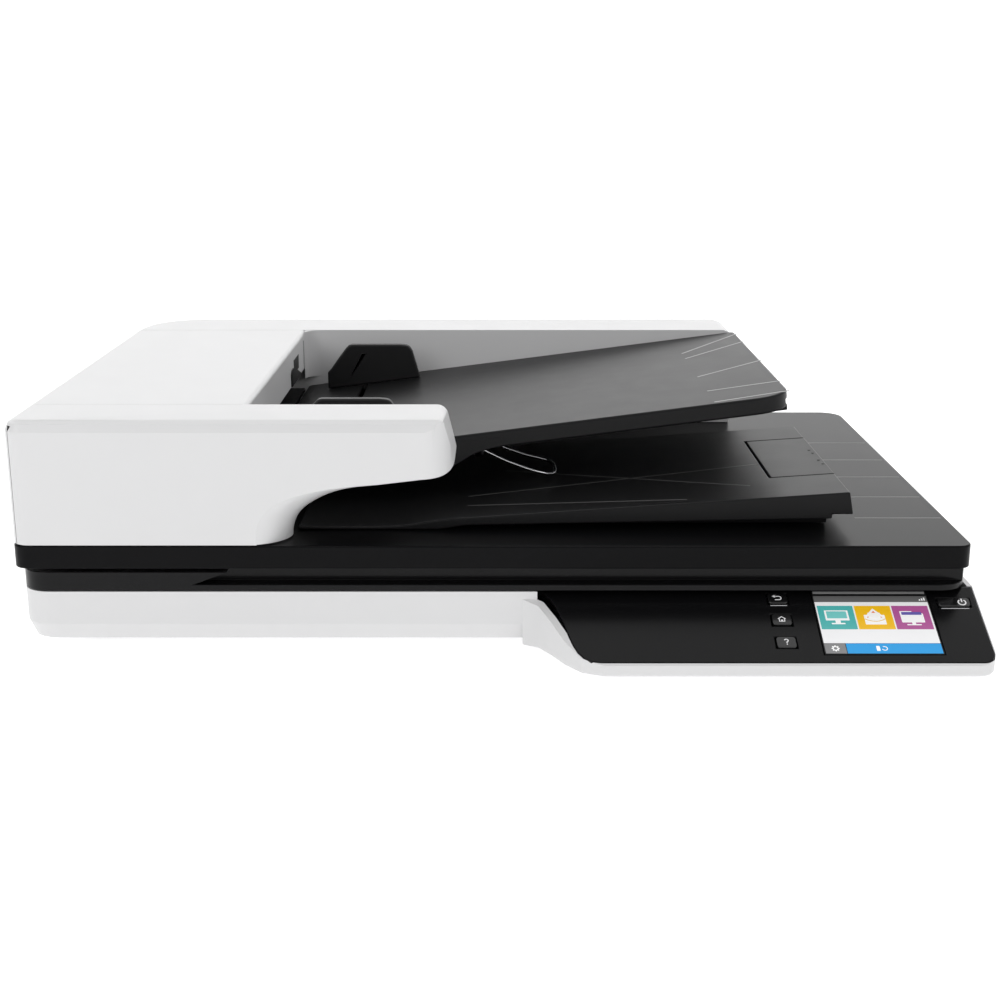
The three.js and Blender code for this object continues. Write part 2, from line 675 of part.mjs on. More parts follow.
const rampLeft = hopperLeft + RAMP_FROM_HOPPER;
const rampRight = rampLeft + RAMP_LENGTH;
const rampFront = lidFront + RAMP_SETBACK;
const rampRear = rampFront + RAMP_WIDTH;
const rampBottom = lidTop + SEAM;
const rampTop = lidTop + RAMP_RISE;
const rampSlope = (RAMP_RISE - 6) / (RAMP_LENGTH - 75);

function rampProfile() {
  const shape = new THREE.Shape();
  shape.moveTo(rampLeft, rampBottom);
  shape.lineTo(rampRight - 4, rampBottom);
  shape.lineTo(rampRight + 2, rampTop - RAMP_LIP);
  shape.lineTo(rampRight, rampTop);
  shape.lineTo(rampLeft + 75, lidTop + 6);
  shape.bezierCurveTo(rampLeft + 58, lidTop + 4.6, rampLeft + 56, rampBottom + 1.6, rampLeft + 36,
    rampBottom + 1.6);
  shape.lineTo(rampLeft, rampBottom + 1.6);
  return shape;
}

const stopRight = rampRight + 0.2;
const stopLeft = stopRight - STOP_LENGTH;
const stopFront = rampFront + 36.5;
const stopRear = stopFront + STOP_WIDTH;

function buildOutputTray() {
  const body = prism('y', rampProfile(), rampFront, rampRear);
  const shadowGap = box(rampLeft + 62, rampRight + 3, rampFront - 1, rampFront + 12, rampBottom - 1,
    lidTop + 6)
    .intersect(prism('y', outline([[rampLeft + 62, rampBottom - 1], [rampRight + 3, rampBottom - 1],
      [rampRight + 3, lidTop + 6], [rampRight - 40, lidTop + 5.4], [rampLeft + 80, lidTop + 2.4]]),
      rampFront - 1, rampFront + 12));
  const endGap = box(rampRight - 8, rampRight + 3, rampFront - 1, rampRear + 1, rampBottom - 1,
    rampTop - RAMP_LIP);
  const core = prism('y', outline([[rampLeft + 84, rampBottom - 1], [rampRight - 12, rampBottom - 1],
    [rampRight - 12, rampTop - 5], [rampLeft + 84, lidTop + 4.4]]), rampFront + 14, rampRear - 6);
  const stopPocket = stopSolid(SEAM, STOP_THICKNESS + 1.4);
  return body.subtract(shadowGap).subtract(endGap).subtract(core).subtract(stopPocket);
}

// The paper stop lies flush in the ramp, parallel to its slope.
function stopSolid(grow, thickness) {
  const angle = rampSlope;
  const z1 = rampTop + (grow > 0 ? 3 : 0);
  const drop = STOP_LENGTH * angle;
  return prism('y', outline([
    [stopLeft - grow * 2, rampTop - drop - thickness],
    [stopRight + (grow > 0 ? 6 : 0), rampTop - thickness],
    [stopRight + (grow > 0 ? 6 : 0), z1],
    [stopLeft - grow * 2, z1 - drop],
  ]), stopFront - grow, stopRear + grow);
}

function buildPaperStop() {
  return stopSolid(0, STOP_THICKNESS);
}

part('adf_housing', buildFeederHousing(), 'white');
part('adf_hatch', buildHatch(), 'white');
part('output_tray', buildOutputTray(), 'tray');
part('paper_stop', buildPaperStop(), 'tray');

// ---------------------------------------------------------------- feeder works
const trayEntryZ = feederBottom + TRAY_LEFT_TOP;
const feedAt = [hopperLeft - 31, trayEntryZ + 8.6];
const pickAt = [hopperLeft - 10, trayEntryZ + 7.2];
const separationAt = [feedAt[0], trayEntryZ - 8.2];
const turnAt = [left + 37, feederBottom + 19];
const exitAt = [hopperLeft - 4, feederBottom + 8.4];
const FEED_RADIUS = 8.4;
const PICK_RADIUS = 6.5;
const SEPARATION_RADIUS = 7;
const TURN_RADIUS = 14;
const EXIT_RADIUS = 5.4;
const SHAFT_RADIUS = 2.5;
const plateFront = hopperFront + 4;
const plateRear = hopperRear - 4;
const PLATE = 3;

function buildChassis() {
  const bed = box(left + 6, hopperLeft + 14, plateFront, plateRear, feederBottom, feederBottom + 2);
  const platePlan = outline([
    [left + 16, feederBottom], [hopperLeft + 2, feederBottom], [hopperLeft + 2, trayEntryZ - 12],
    [hopperLeft - 12, trayEntryZ - 4], [feedAt[0] + 10, feedAt[1] + 6], [feedAt[0] - 10, feedAt[1] + 6],
    [left + 16, feederBottom + 26],
  ]);
  const shelf = box(feedAt[0] - 14, hopperLeft - 1, plateFront, plateRear, trayEntryZ - 3.4,
    trayEntryZ - 1.2);
  let chassis = bed.add(shelf)
    .add(prism('y', platePlan, plateFront, plateFront + PLATE))
    .add(prism('y', platePlan, plateRear - PLATE, plateRear));
  chassis = chassis.subtract(rod('y', separationAt, SEPARATION_RADIUS + 1, plateFront + PLATE + 1,
    plateRear - PLATE - 1));
  for (const at of [feedAt, separationAt, turnAt, exitAt]) {
    chassis = chassis.subtract(rod('y', at, SHAFT_RADIUS + RUNNING_GAP, plateFront - 1, plateRear + 1));
  }
  const scanSlot = box(turnAt[0] - 11, turnAt[0] + 9, plateFront + 10, plateRear - 10, feederBottom - 1,
    feederBottom + 3);
  return chassis.subtract(scanSlot);
}

const gearY = plateFront - 9;
const GEAR_FACE = 5;
const MODULE = 1;
const MESH_GAP = 0.25;

// Centre of a gear that meshes with two others.
function between(a, distanceA, b, distanceB, side) {
  const dx = b[0] - a[0];
  const dz = b[1] - a[1];
  const gap = Math.hypot(dx, dz);
  const along = (distanceA ** 2 - distanceB ** 2 + gap ** 2) / (2 * gap);
  const across = side * Math.sqrt(Math.max(distanceA ** 2 - along ** 2, 0));
  return [a[0] + (dx * along - dz * across) / gap, a[1] + (dz * along + dx * across) / gap];
}

const teeth = { feed: 18, idler: 25, turn: 18, pinion: 10, exitIdler: 22, exit: 12 };

function centreDistance(a, b) {
  return ((teeth[a] + teeth[b]) * MODULE) / 2 + MESH_GAP;
}

const idlerAt = between(feedAt, centreDistance('feed', 'idler'), turnAt, centreDistance('turn', 'idler'), -1);
const exitIdlerAt = between(feedAt, centreDistance('feed', 'exitIdler'), exitAt,
  centreDistance('exit', 'exitIdler'), -1);
const pinionAt = [turnAt[0] - centreDistance('turn', 'pinion') * 0.5,
  turnAt[1] + centreDistance('turn', 'pinion') * Math.sqrt(0.75)];

// The turn that puts a gap of the second gear on the line to a tooth of the first.
function meshTurn(first, firstTurn, firstTeeth, second, secondTeeth) {
  const line = Math.atan2(second[1] - first[1], second[0] - first[0]);
  const phase = ((line - firstTurn) * firstTeeth) / (Math.PI * 2);
  return line + Math.PI + (Math.PI / secondTeeth) + (phase * Math.PI * 2) / secondTeeth;
}

const feedTurn = 0;
const idlerTurn = meshTurn(feedAt, feedTurn, teeth.feed, idlerAt, teeth.idler);
const turnTurn = meshTurn(idlerAt, idlerTurn, teeth.idler, turnAt, teeth.turn);
const pinionTurn = meshTurn(turnAt, turnTurn, teeth.turn, pinionAt, teeth.pinion);
const exitIdlerTurn = meshTurn(feedAt, feedTurn, teeth.feed, exitIdlerAt, teeth.exitIdler);
const exitTurn = meshTurn(exitIdlerAt, exitIdlerTurn, teeth.exitIdler, exitAt, teeth.exit);

function shaftSolid(at, from, to) {
  return rod('y', at, SHAFT_RADIUS, from, to, 16);
}

// Rubber rings on a shaft: pairs of [centre along Y, width].
function roller(at, radius, rings, from, to) {
  let solid = shaftSolid(at, from, to);
  for (const [y, width] of rings) {
    solid = solid.add(rod('y', at, radius, y - width / 2, y + width / 2, 20));
  }
  return solid;
}

const shaftFront = gearY - 1;
const shaftRear = plateRear + 1;
const keyedEnd = SHAFT_RADIUS + 0.3;
part('adf_chassis', buildChassis(), 'charcoal');
part('feed_roller', roller(feedAt, FEED_RADIUS, [[middleY, 46]], shaftFront, shaftRear), 'rubber');
part('separation_roller', roller(separationAt, SEPARATION_RADIUS - 0.1, [[middleY, 44]],
  plateFront - 1, shaftRear), 'rubber');
part('turn_roller', roller(turnAt, TURN_RADIUS, [[middleY - 60, 26], [middleY, 26], [middleY + 60, 26]],
  shaftFront, shaftRear), 'rubber');
part('exit_roller', roller(exitAt, EXIT_RADIUS, [[middleY - 45, 18], [middleY + 45, 18]],
  shaftFront, shaftRear), 'rubber');

const gearFront = gearY;
const gearBack = gearY + GEAR_FACE;
part('feed_gear', gear(feedAt, teeth.feed, MODULE, feedTurn, gearFront, gearBack, keyedEnd), 'gear');
part('turn_gear', gear(turnAt, teeth.turn, MODULE, turnTurn, gearFront, gearBack, keyedEnd), 'gear');
part('exit_gear', gear(exitAt, teeth.exit, MODULE, exitTurn, gearFront, gearBack, keyedEnd), 'gear');
part('idler_gear', gear(idlerAt, teeth.idler, MODULE, idlerTurn, gearFront, gearBack, 0)
  .add(rod('y', idlerAt, 2, gearFront, plateFront - 1, 12)), 'gear');
part('exit_idler_gear', gear(exitIdlerAt, teeth.exitIdler, MODULE, exitIdlerTurn, gearFront, gearBack, 0)
  .add(rod('y', exitIdlerAt, 2, gearFront, plateFront - 1, 12)), 'gear');
part('motor_pinion', gear(pinionAt, teeth.pinion, MODULE, pinionTurn, gearFront, gearBack, 0)
  .add(rod('y', pinionAt, 1.5, gearFront - 4, gearFront + 1, 12)), 'steel');
part('adf_motor', rod('y', pinionAt, 11, lidFront + WALL + 2, gearFront - 4.6), 'steel');

const ARM_WIDTH = 26;
function buildPickArm() {
  const bridge = outline([
    [feedAt[0] - 3, feedAt[1] + FEED_RADIUS + 1.2], [pickAt[0] + 3, pickAt[1] + PICK_RADIUS + 2.4],
    [pickAt[0] + 3, pickAt[1] + PICK_RADIUS + 4.6], [feedAt[0] - 3, feedAt[1] + FEED_RADIUS + 4.4],
  ]);
  const cheek = outline([
    [feedAt[0] - 5, feedAt[1] - 4], [feedAt[0] + 5, feedAt[1] - 4.5], [pickAt[0] - 4, pickAt[1] - 3.5],
    [pickAt[0] + 4, pickAt[1] - 3.5], [pickAt[0] + 4, pickAt[1] + PICK_RADIUS + 4],
    [feedAt[0] - 4, feedAt[1] + FEED_RADIUS + 4],
  ]);
  const half = ARM_WIDTH;
  let arm = prism('y', bridge, middleY - half - 3, middleY + half + 3);
  arm = arm.add(prism('y', cheek, middleY - half - 3, middleY - half));
  arm = arm.add(prism('y', cheek, middleY + half, middleY + half + 3));
  const turnHole = rod('y', feedAt, SHAFT_RADIUS + RUNNING_GAP, middleY - 60, middleY + 60);
  const pickHole = rod('y', pickAt, 1.5 + RUNNING_GAP, middleY - 60, middleY + 60);
  return arm.subtract(turnHole).subtract(pickHole);
}

part('pick_arm', buildPickArm(), 'charcoal');
part('pick_roller', rod('y', pickAt, PICK_RADIUS, middleY - 20, middleY + 20, 20)
  .add(rod('y', pickAt, 1.5, middleY - ARM_WIDTH - 2.6, middleY + ARM_WIDTH + 2.6, 12)), 'rubber');

const sensorBar = box(turnAt[0] - 10, turnAt[0] + 8, plateFront + 11, plateRear - 11,
  lidTop + 0.8, feederBottom + 3);
part('adf_sensor_bar', sensorBar, 'charcoal');

// ---------------------------------------------------------------- input tray
const tray = new THREE.Group();
const trayLeft = hopperLeft + 1;
tray.position.set(trayLeft, 0, trayEntryZ);
tray.rotation.y = -TRAY_SLOPE;
model.add(tray);

// In the tray's own frame: x runs up the slope from the hopper's left end, z = 0 is the top face.
const trayRun = (beamRight - trayLeft + 1) / Math.cos(TRAY_SLOPE);
const trayFront = hopperFront + TRAY_SETBACK;
const trayRear = hopperRear - 1;
const extensionFront = trayFront + 12;
const extensionRear = trayRear - 8;
const EXTENSION_THICKNESS = 2.6;
const slotWidth = 3;
const guideStart = 16;
const guideRearY = trayRear - 18;
const guideFrontY = trayFront + 10;
const guideMiddle = (guideRearY + guideFrontY) / 2;

// Bent wire that keeps the delivered sheets down, hung under the input tray on two lugs.
const WIRE_RADIUS = 0.9;
const WIRE_DROP = 2.4;
const WIRE_END = 9;
const WIRE_REACH = 40;
const WIRE_CLEARANCE = 1.28;
const wireFront = rampFront + 59;
const wireRear = wireFront + 27;
const wireAlong = 108;
const wireBelow = TRAY_THICKNESS + WIRE_DROP;
const wireX = trayLeft + wireAlong * Math.cos(TRAY_SLOPE) + wireBelow * Math.sin(TRAY_SLOPE);
const wireZ = trayEntryZ + wireAlong * Math.sin(TRAY_SLOPE) - wireBelow * Math.cos(TRAY_SLOPE);

const rampUnderWire = rampTop - (rampRight - wireX - WIRE_REACH) * rampSlope;
const wireSag = wireZ - WIRE_RADIUS - WIRE_CLEARANCE - rampUnderWire;

function wireLugs() {
  const bore = rod('y', [wireAlong, -TRAY_THICKNESS - WIRE_DROP], WIRE_RADIUS + RUNNING_GAP,
    wireFront - 20, wireRear + 20, 16);
  const lugs = [wireFront - WIRE_END + 1, wireRear + WIRE_END - 1].map((y) =>
    box(wireAlong - 3, wireAlong + 3, y - 2, y + 2, -TRAY_THICKNESS - WIRE_DROP - 2.6, -TRAY_SKIN + 0.5));
  return lugs[0].add(lugs[1]).subtract(bore);
}

function buildInputTray() {
  const plan = roundedRect(0, trayRun, trayFront, trayRear, [3, TRAY_CORNER, 3, 3]);
  const outer = prism('z', plan, -TRAY_THICKNESS, 0);
  const hollow = prism('z', roundedRect(4, trayRun - 4, trayFront + 4, trayRear - 4, [2, TRAY_CORNER - 4, 2, 2]),
    -TRAY_THICKNESS - 1, -TRAY_SKIN);
  const exit = box(trayRun - 6, trayRun + 1, extensionFront - 1, extensionRear + 1, -TRAY_THICKNESS - 1, -TRAY_SKIN - 2);
  const slots = [
    [guideFrontY - SEAM, guideFrontY + GUIDE_THICKNESS + GUIDE_TRAVEL],
    [guideRearY - GUIDE_THICKNESS - GUIDE_TRAVEL, guideRearY + SEAM],
  ];
  let solid = outer.subtract(hollow).subtract(exit).add(wireLugs());
  for (const [y0, y1] of slots) {
    solid = solid.subtract(box(guideStart + 20, guideStart + 20 + slotWidth, y0, y1, -TRAY_SKIN - 1, 1));
  }
  return solid;
}

// A guide stands on the tray; its stem passes the slot and carries a toothed rack below.
function buildGuide(wallY, toCentre) {
  const chamfer = outline([[0, 0.5], [GUIDE_LENGTH, 0.5], [GUIDE_LENGTH - 3, GUIDE_HEIGHT - 7],
    [GUIDE_LENGTH - 10, GUIDE_HEIGHT], [18, GUIDE_HEIGHT], [0, GUIDE_HEIGHT - 11]]);
  const y0 = Math.min(wallY, wallY + toCentre * GUIDE_THICKNESS);
  const wall = prism('y', chamfer, y0, y0 + GUIDE_THICKNESS).translate([guideStart, 0, 0]);
  const stem = box(guideStart + 20 + SEAM, guideStart + 20 + slotWidth - SEAM, y0 + 0.6, y0 + GUIDE_THICKNESS - 0.6,
    -TRAY_SKIN - 2.2, 1);
  return wall.add(stem);
}

const rackZ = -TRAY_SKIN - 3;
const pinionX = guideStart + 20 + slotWidth / 2;
const RACK_PINION = 6;
const RACK_OVERRUN = 8;

function buildRack(y0, y1, side) {
  return box(pinionX + side * (RACK_PINION + 0.6) - 1.4, pinionX + side * (RACK_PINION + 0.6) + 1.4, y0, y1,
    rackZ - 1.6, rackZ + 0.6);
}

function joinRack(guide, guideY, side) {
  const farEnd = guideMiddle + (guideY > guideMiddle ? -RACK_OVERRUN : RACK_OVERRUN);
  const y0 = Math.min(guideY, farEnd) - 2;
  const y1 = Math.max(guideY, farEnd) + 2;
  const foot = box(Math.min(pinionX - 1, pinionX + side * (RACK_PINION + 1.6)),
    Math.max(pinionX + 1, pinionX + side * (RACK_PINION + 1.6)), guideY - 1.8, guideY + 1.8, rackZ - 1.6, rackZ + 0.9);
  return guide.add(foot).add(buildRack(y0, y1, side));
}

part('input_tray', buildInputTray(), 'tray', tray);
part('paper_guide_rear', joinRack(buildGuide(guideRearY, -1), guideRearY - GUIDE_THICKNESS / 2, 1), 'charcoal', tray);
part('paper_guide_front', joinRack(buildGuide(guideFrontY, 1), guideFrontY + GUIDE_THICKNESS / 2, -1),
  'charcoal', tray);
part('guide_pinion', rod('z', [pinionX, guideMiddle], RACK_PINION - 1.3, rackZ - 1.6, rackZ + 0.6, 20), 'gear', tray);

function buildExtension() {
  const x0 = trayRun - 110;
  const plate = box(x0, trayRun - 7, extensionFront, extensionRear, -TRAY_THICKNESS, -TRAY_THICKNESS + EXTENSION_THICKNESS);
  const lip = box(trayRun - 20, trayRun - 1, extensionFront, extensionRear, -TRAY_THICKNESS - 2,
    -TRAY_THICKNESS + 1.4);
  return plate.add(lip);
}
part('tray_extension', buildExtension(), 'tray', tray);

function buildWire() {
  const dip = (share) => wireZ - share * wireSag;
  const tip = wireX + WIRE_REACH;
  const points = [
    [wireX, wireFront - WIRE_END, wireZ], [wireX, wireFront, wireZ], [wireX + 14, wireFront, dip(0.45)],
    [tip - 12, wireFront, dip(0.795)], [tip - 3, wireFront + 2, dip(0.96)],
    [tip, wireFront + 9, dip(1)], [tip, wireRear - 7, dip(0.96)],
    [tip - 3, wireRear, dip(0.87)], [tip - 14, wireRear, dip(0.705)],
    [wireX + 13, wireRear, dip(0.41)], [wireX, wireRear, wireZ], [wireX, wireRear + WIRE_END, wireZ],
  ].map(([x, y, z]) => new THREE.Vector3(x, y, z));
  const path = new THREE.CatmullRomCurve3(points, false, 'catmullrom', 0.25);
  const section = new THREE.Shape();
  section.absarc(0, 0, WIRE_RADIUS, 0, Math.PI * 2, false);
  const geometry = new THREE.ExtrudeGeometry(section, { extrudePath: path, steps: 34, curveSegments: 3 });
  return toSolid(geometry);
}
part('paper_hold_wire', buildWire(), 'steel');

export default model;
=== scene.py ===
# %% [markdown]
# # A document scanner with a sheet feeder on its lid
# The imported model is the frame: it says where every piece is and how it moves. This lesson gives
# each of those pieces its real surface: rounded moulding edges, a screen with tiles, icons on the
# keys, a bent wire, and plastics that look moulded and not painted.

# %% Load the frame
import json
import math
import bmesh
import bpy
from mathutils import Matrix, Vector


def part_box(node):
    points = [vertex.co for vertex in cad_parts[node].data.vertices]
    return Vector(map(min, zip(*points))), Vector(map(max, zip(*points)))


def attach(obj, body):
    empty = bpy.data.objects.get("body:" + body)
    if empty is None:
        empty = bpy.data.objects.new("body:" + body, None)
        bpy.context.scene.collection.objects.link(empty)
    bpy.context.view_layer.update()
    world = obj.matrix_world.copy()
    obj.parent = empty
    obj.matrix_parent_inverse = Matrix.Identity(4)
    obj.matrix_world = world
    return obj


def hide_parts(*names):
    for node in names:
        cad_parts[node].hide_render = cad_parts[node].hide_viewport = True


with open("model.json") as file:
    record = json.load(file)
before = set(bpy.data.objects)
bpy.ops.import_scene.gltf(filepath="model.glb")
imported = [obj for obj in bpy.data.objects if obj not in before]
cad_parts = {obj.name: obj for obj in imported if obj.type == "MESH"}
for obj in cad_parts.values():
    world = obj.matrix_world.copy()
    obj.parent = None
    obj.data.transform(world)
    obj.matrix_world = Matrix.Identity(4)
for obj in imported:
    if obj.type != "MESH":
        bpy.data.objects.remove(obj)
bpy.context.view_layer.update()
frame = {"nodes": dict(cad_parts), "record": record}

MM = 0.001
nodes = frame["nodes"]
record = frame["record"]
body_of = {node: body for body, names in record["behaviour"]["bodies"].items() for node in names}
slot_of = {row["node"]: row["material_slot"] for row in record["subparts"]}


def low(node):
    return Vector(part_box(node)[0])


def high(node):
    return Vector(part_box(node)[1])


# %% [markdown]
# ## The camera and the lights
# A desk machine is best seen through a longish lens, from a little above the desk. The camera is
# made first, so that every later choice can be judged through it. Three large soft
# lights and a bright room stand in for a light tent: glossy black plastic shows its shape only
# by what it reflects, so the room matters more than the lamps.

# %% Camera and lights
CAMERA_PLACE = (1.9 * MM, -803.8 * MM, 259.8 * MM)
CAMERA_DOWN = math.radians(15.5)
CAMERA_LENS = 54.2
ROOM_LIGHT = 0.55
camera_data = bpy.data.cameras.new("camera")
camera_data.lens = CAMERA_LENS
camera_data.sensor_width = 36
camera = bpy.data.objects.new("camera", camera_data)
camera.location = CAMERA_PLACE
camera.rotation_euler = (math.pi / 2 - CAMERA_DOWN, 0, 0)
bpy.context.scene.collection.objects.link(camera)
bpy.context.scene.camera = camera


def soft_light(name, place, aim, size, power):
    """A square area light that faces a point."""
    data = bpy.data.lights.new(name, "AREA")
    data.size = size
    data.energy = power
    light = bpy.data.objects.new(name, data)
    light.location = place
    light.rotation_euler = (Vector(aim) - Vector(place)).to_track_quat("-Z", "Y").to_euler()
    bpy.context.scene.collection.objects.link(light)


soft_light("overhead", (0.0, 0.2, 2.2), (0, 0, 0), 3.0, 12)
soft_light("front_left", (-1.4, -1.6, 1.2), (0, 0, 0.06), 1.2, 9)
soft_light("front_right", (1.5, -1.4, 1.0), (0, 0, 0.06), 1.0, 5)

bpy.context.scene.view_settings.view_transform = "Standard"
world = bpy.data.worlds.new("light_tent")
world.use_nodes = True
world.node_tree.nodes["Background"].inputs["Color"].default_value = (1, 1, 1, 1)
world.node_tree.nodes["Background"].inputs["Strength"].default_value = ROOM_LIGHT
bpy.context.scene.world = world

# %% [markdown]
# ## The floor and the backdrop
# A plain pale sheet lies under the object, far larger than it, and a second one hangs well
# behind. They belong to the studio and not to the object.

# %% Floor and backdrop
SHEET_SIZE = 6


def sheet(name, place, turn):
    """A flat square of the studio."""
    bm = bmesh.new()
    bmesh.ops.create_grid(bm, x_segments=1, y_segments=1, size=SHEET_SIZE)
    bmesh.ops.rotate(bm, verts=bm.verts, matrix=Matrix.Rotation(turn, 3, "X"))
    mesh = bpy.data.meshes.new(name)
    bm.to_mesh(mesh)
    bm.free()
    piece = bpy.data.objects.new(name, mesh)
    piece.location = place
    bpy.context.scene.collection.objects.link(piece)
    return piece


floor = sheet("floor", (0, 0, -0.0002), 0)
backdrop = sheet("backdrop", (0, 5.9, 5.9), math.pi / 2)


# %% [markdown]
# ## How a plastic is made
# Moulded plastic is never one even colour. The tool that formed it leaves a fine texture, the
# gloss changes a little from place to place, and the tint drifts. All three come from noise on
# Object coordinates, so they stay with the piece when it moves. The even values, such as coat and
# index of refraction, are set on the shader itself.

# %% A helper for every finish
def finish(name, color, roughness, drift=0.04, gloss_drift=0.06, grain=900.0, grain_depth=0.02,
           metallic=0.0, coat=0.0, coat_roughness=0.05, mottle=60.0, ior=1.45, glow=0.0):
    """A plastic, rubber or metal with drifting colour and gloss and a fine moulded grain."""
    material = bpy.data.materials.new(name)
    material.use_nodes = True
    tree = material.node_tree
    shader = tree.nodes["Principled BSDF"]
    shader.inputs["Metallic"].default_value = metallic
    shader.inputs["Coat Weight"].default_value = coat
    shader.inputs["Coat Roughness"].default_value = coat_roughness
    shader.inputs["IOR"].default_value = ior
    shader.inputs["Emission Strength"].default_value = glow
    shader.inputs["Emission Color"].default_value = [*color, 1]
    place = tree.nodes.new("ShaderNodeTexCoord")
    cloud = tree.nodes.new("ShaderNodeTexNoise")
    cloud.inputs["Scale"].default_value = mottle
    cloud.inputs["Detail"].default_value = 4
    tree.links.new(place.outputs["Object"], cloud.inputs["Vector"])
    tint = tree.nodes.new("ShaderNodeMix")
    tint.data_type = "RGBA"
    tint.inputs["A"].default_value = [c * (1 - drift) for c in color] + [1]
    tint.inputs["B"].default_value = [min(c * (1 + drift), 1) for c in color] + [1]
    tree.links.new(cloud.outputs["Fac"], tint.inputs["Factor"])
    tree.links.new(tint.outputs["Result"], shader.inputs["Base Color"])
    gloss = tree.nodes.new("ShaderNodeMapRange")
    gloss.inputs["To Min"].default_value = max(roughness - gloss_drift, 0.01)
    gloss.inputs["To Max"].default_value = roughness + gloss_drift
    tree.links.new(cloud.outputs["Fac"], gloss.inputs["Value"])
    tree.links.new(gloss.outputs["Result"], shader.inputs["Roughness"])
    texture = tree.nodes.new("ShaderNodeTexNoise")
    texture.inputs["Scale"].default_value = grain
    texture.inputs["Detail"].default_value = 3
    tree.links.new(place.outputs["Object"], texture.inputs["Vector"])
    bump = tree.nodes.new("ShaderNodeBump")
    bump.inputs["Strength"].default_value = 0.6
    bump.inputs["Distance"].default_value = grain_depth * MM
    tree.links.new(texture.outputs["Fac"], bump.inputs["Height"])
    tree.links.new(bump.outputs["Normal"], shader.inputs["Normal"])
    return material


floor.data.materials.append(finish("floor_sheet", (0.93, 0.93, 0.93), 0.8, drift=0.005, grain=200,
                                   glow=0.5))
backdrop.data.materials.append(finish("backdrop_sheet", (0.9, 0.9, 0.9), 0.9, drift=0.005, glow=0.85))

# %% [markdown]
# ## The finishes
# One finish for each material slot of the record. The white case is a satin moulding. The black
# pieces are of three kinds: piano gloss on the panel and the frame, a satin black lid, and the
# spark-eroded charcoal of the trays, whose grain is coarse enough to see.

# %% Finishes by slot
finishes = {
    "white_case": finish("white_case", (0.68, 0.68, 0.685), 0.34, drift=0.012, grain=1400, grain_depth=0.006),
    "light_grey": finish("light_grey", (0.42, 0.42, 0.43), 0.5, drift=0.04, grain=1200, grain_depth=0.01),
    "gloss_black": finish("gloss_black", (0.004, 0.004, 0.0045), 0.2, gloss_drift=0.02, grain=300,
                          grain_depth=0.0005, ior=1.27),
    "lid_black": finish("lid_black", (0.004, 0.004, 0.0045), 0.3, gloss_drift=0.012, grain=1800,
                        grain_depth=0.001, ior=1.17, mottle=25),
    "tray_grey": finish("tray_grey", (0.009, 0.009, 0.0095), 0.36, gloss_drift=0.03, grain=1500,
                        grain_depth=0.006, ior=1.24),
    "charcoal": finish("charcoal", (0.009, 0.009, 0.0095), 0.42, grain=1300, grain_depth=0.01,
                       ior=1.35),
    "key_black": finish("key_black", (0.007, 0.007, 0.0075), 0.16, grain=500, grain_depth=0.002, coat=0.4),
    "steel": finish("steel", (0.62, 0.62, 0.64), 0.24, grain=700, grain_depth=0.003, metallic=1.0),
    "rubber": finish("rubber", (0.018, 0.018, 0.019), 0.78, grain=1600, grain_depth=0.03),
    "gear_plastic": finish("gear_plastic", (0.68, 0.65, 0.55), 0.42, grain=900, grain_depth=0.01),
    "circuit_board": finish("circuit_board", (0.012, 0.09, 0.045), 0.38, drift=0.2, mottle=300, coat=0.3),
    "foam_white": finish("foam_white", (0.8, 0.8, 0.77), 0.85, grain=2200, grain_depth=0.06),
    "port_black": finish("port_black", (0.008, 0.008, 0.008), 0.45),
}

# %% [markdown]
# The platen glass is the only clear piece. It transmits light and keeps a faint green, and a
# slight unevenness in its polish keeps it from looking computed.

# %% Clear glass
clear = finish("clear_glass", (0.86, 0.93, 0.9), 0.03, drift=0.01, gloss_drift=0.015, grain=200,
               grain_depth=0.0005)
clear.node_tree.nodes["Principled BSDF"].inputs["Transmission Weight"].default_value = 0.85
clear.node_tree.nodes["Principled BSDF"].inputs["IOR"].default_value = 1.5
finishes["clear_glass"] = clear
print("finishes", len(finishes))


# %% [markdown]
# ## Rounded edges on every moulding
# No moulded edge is a knife edge: even a crisp one has a radius of a few tenths of a millimetre,
# and that radius is what catches the light. The frame's solids have sharp edges, so each visible
# one is copied, its doubled points are merged, its flat faces are joined up, and a bevel goes on
# every edge that is sharper than a set angle. Edges can be given their own radius by a rule.

# %% Copy a solid and round its edges
SHARP_ANGLE = 34.0
DOUBLED_WITHIN = 0.004 * MM
FLAT_WITHIN = math.radians(0.6)


def cad_copy(node):
    """The merged mesh of a frame node, with its coplanar triangles joined."""
    bm = bmesh.new()
    bm.from_mesh(nodes[node].data)
    bmesh.ops.remove_doubles(bm, verts=bm.verts, dist=DOUBLED_WITHIN)
    bmesh.ops.dissolve_limit(bm, angle_limit=FLAT_WITHIN, verts=bm.verts, edges=bm.edges,
                             delimit=set())
    return bm


def put(bm, name, body, slot, node=None, material=None, smooth=SHARP_ANGLE):
    """Makes a bmesh into a piece that rides on a body, with a finish and smooth shading."""
    mesh = bpy.data.meshes.new(name)
    bm.to_mesh(mesh)
    bm.free()
    piece = bpy.data.objects.new(name, mesh)
    bpy.context.scene.collection.objects.link(piece)
    mesh.materials.append(material or finishes[slot])
    mesh.shade_smooth()
    mesh.set_sharp_from_angle(angle=math.radians(smooth))
    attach(piece, body)
    if node:
        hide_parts(node)
    return piece


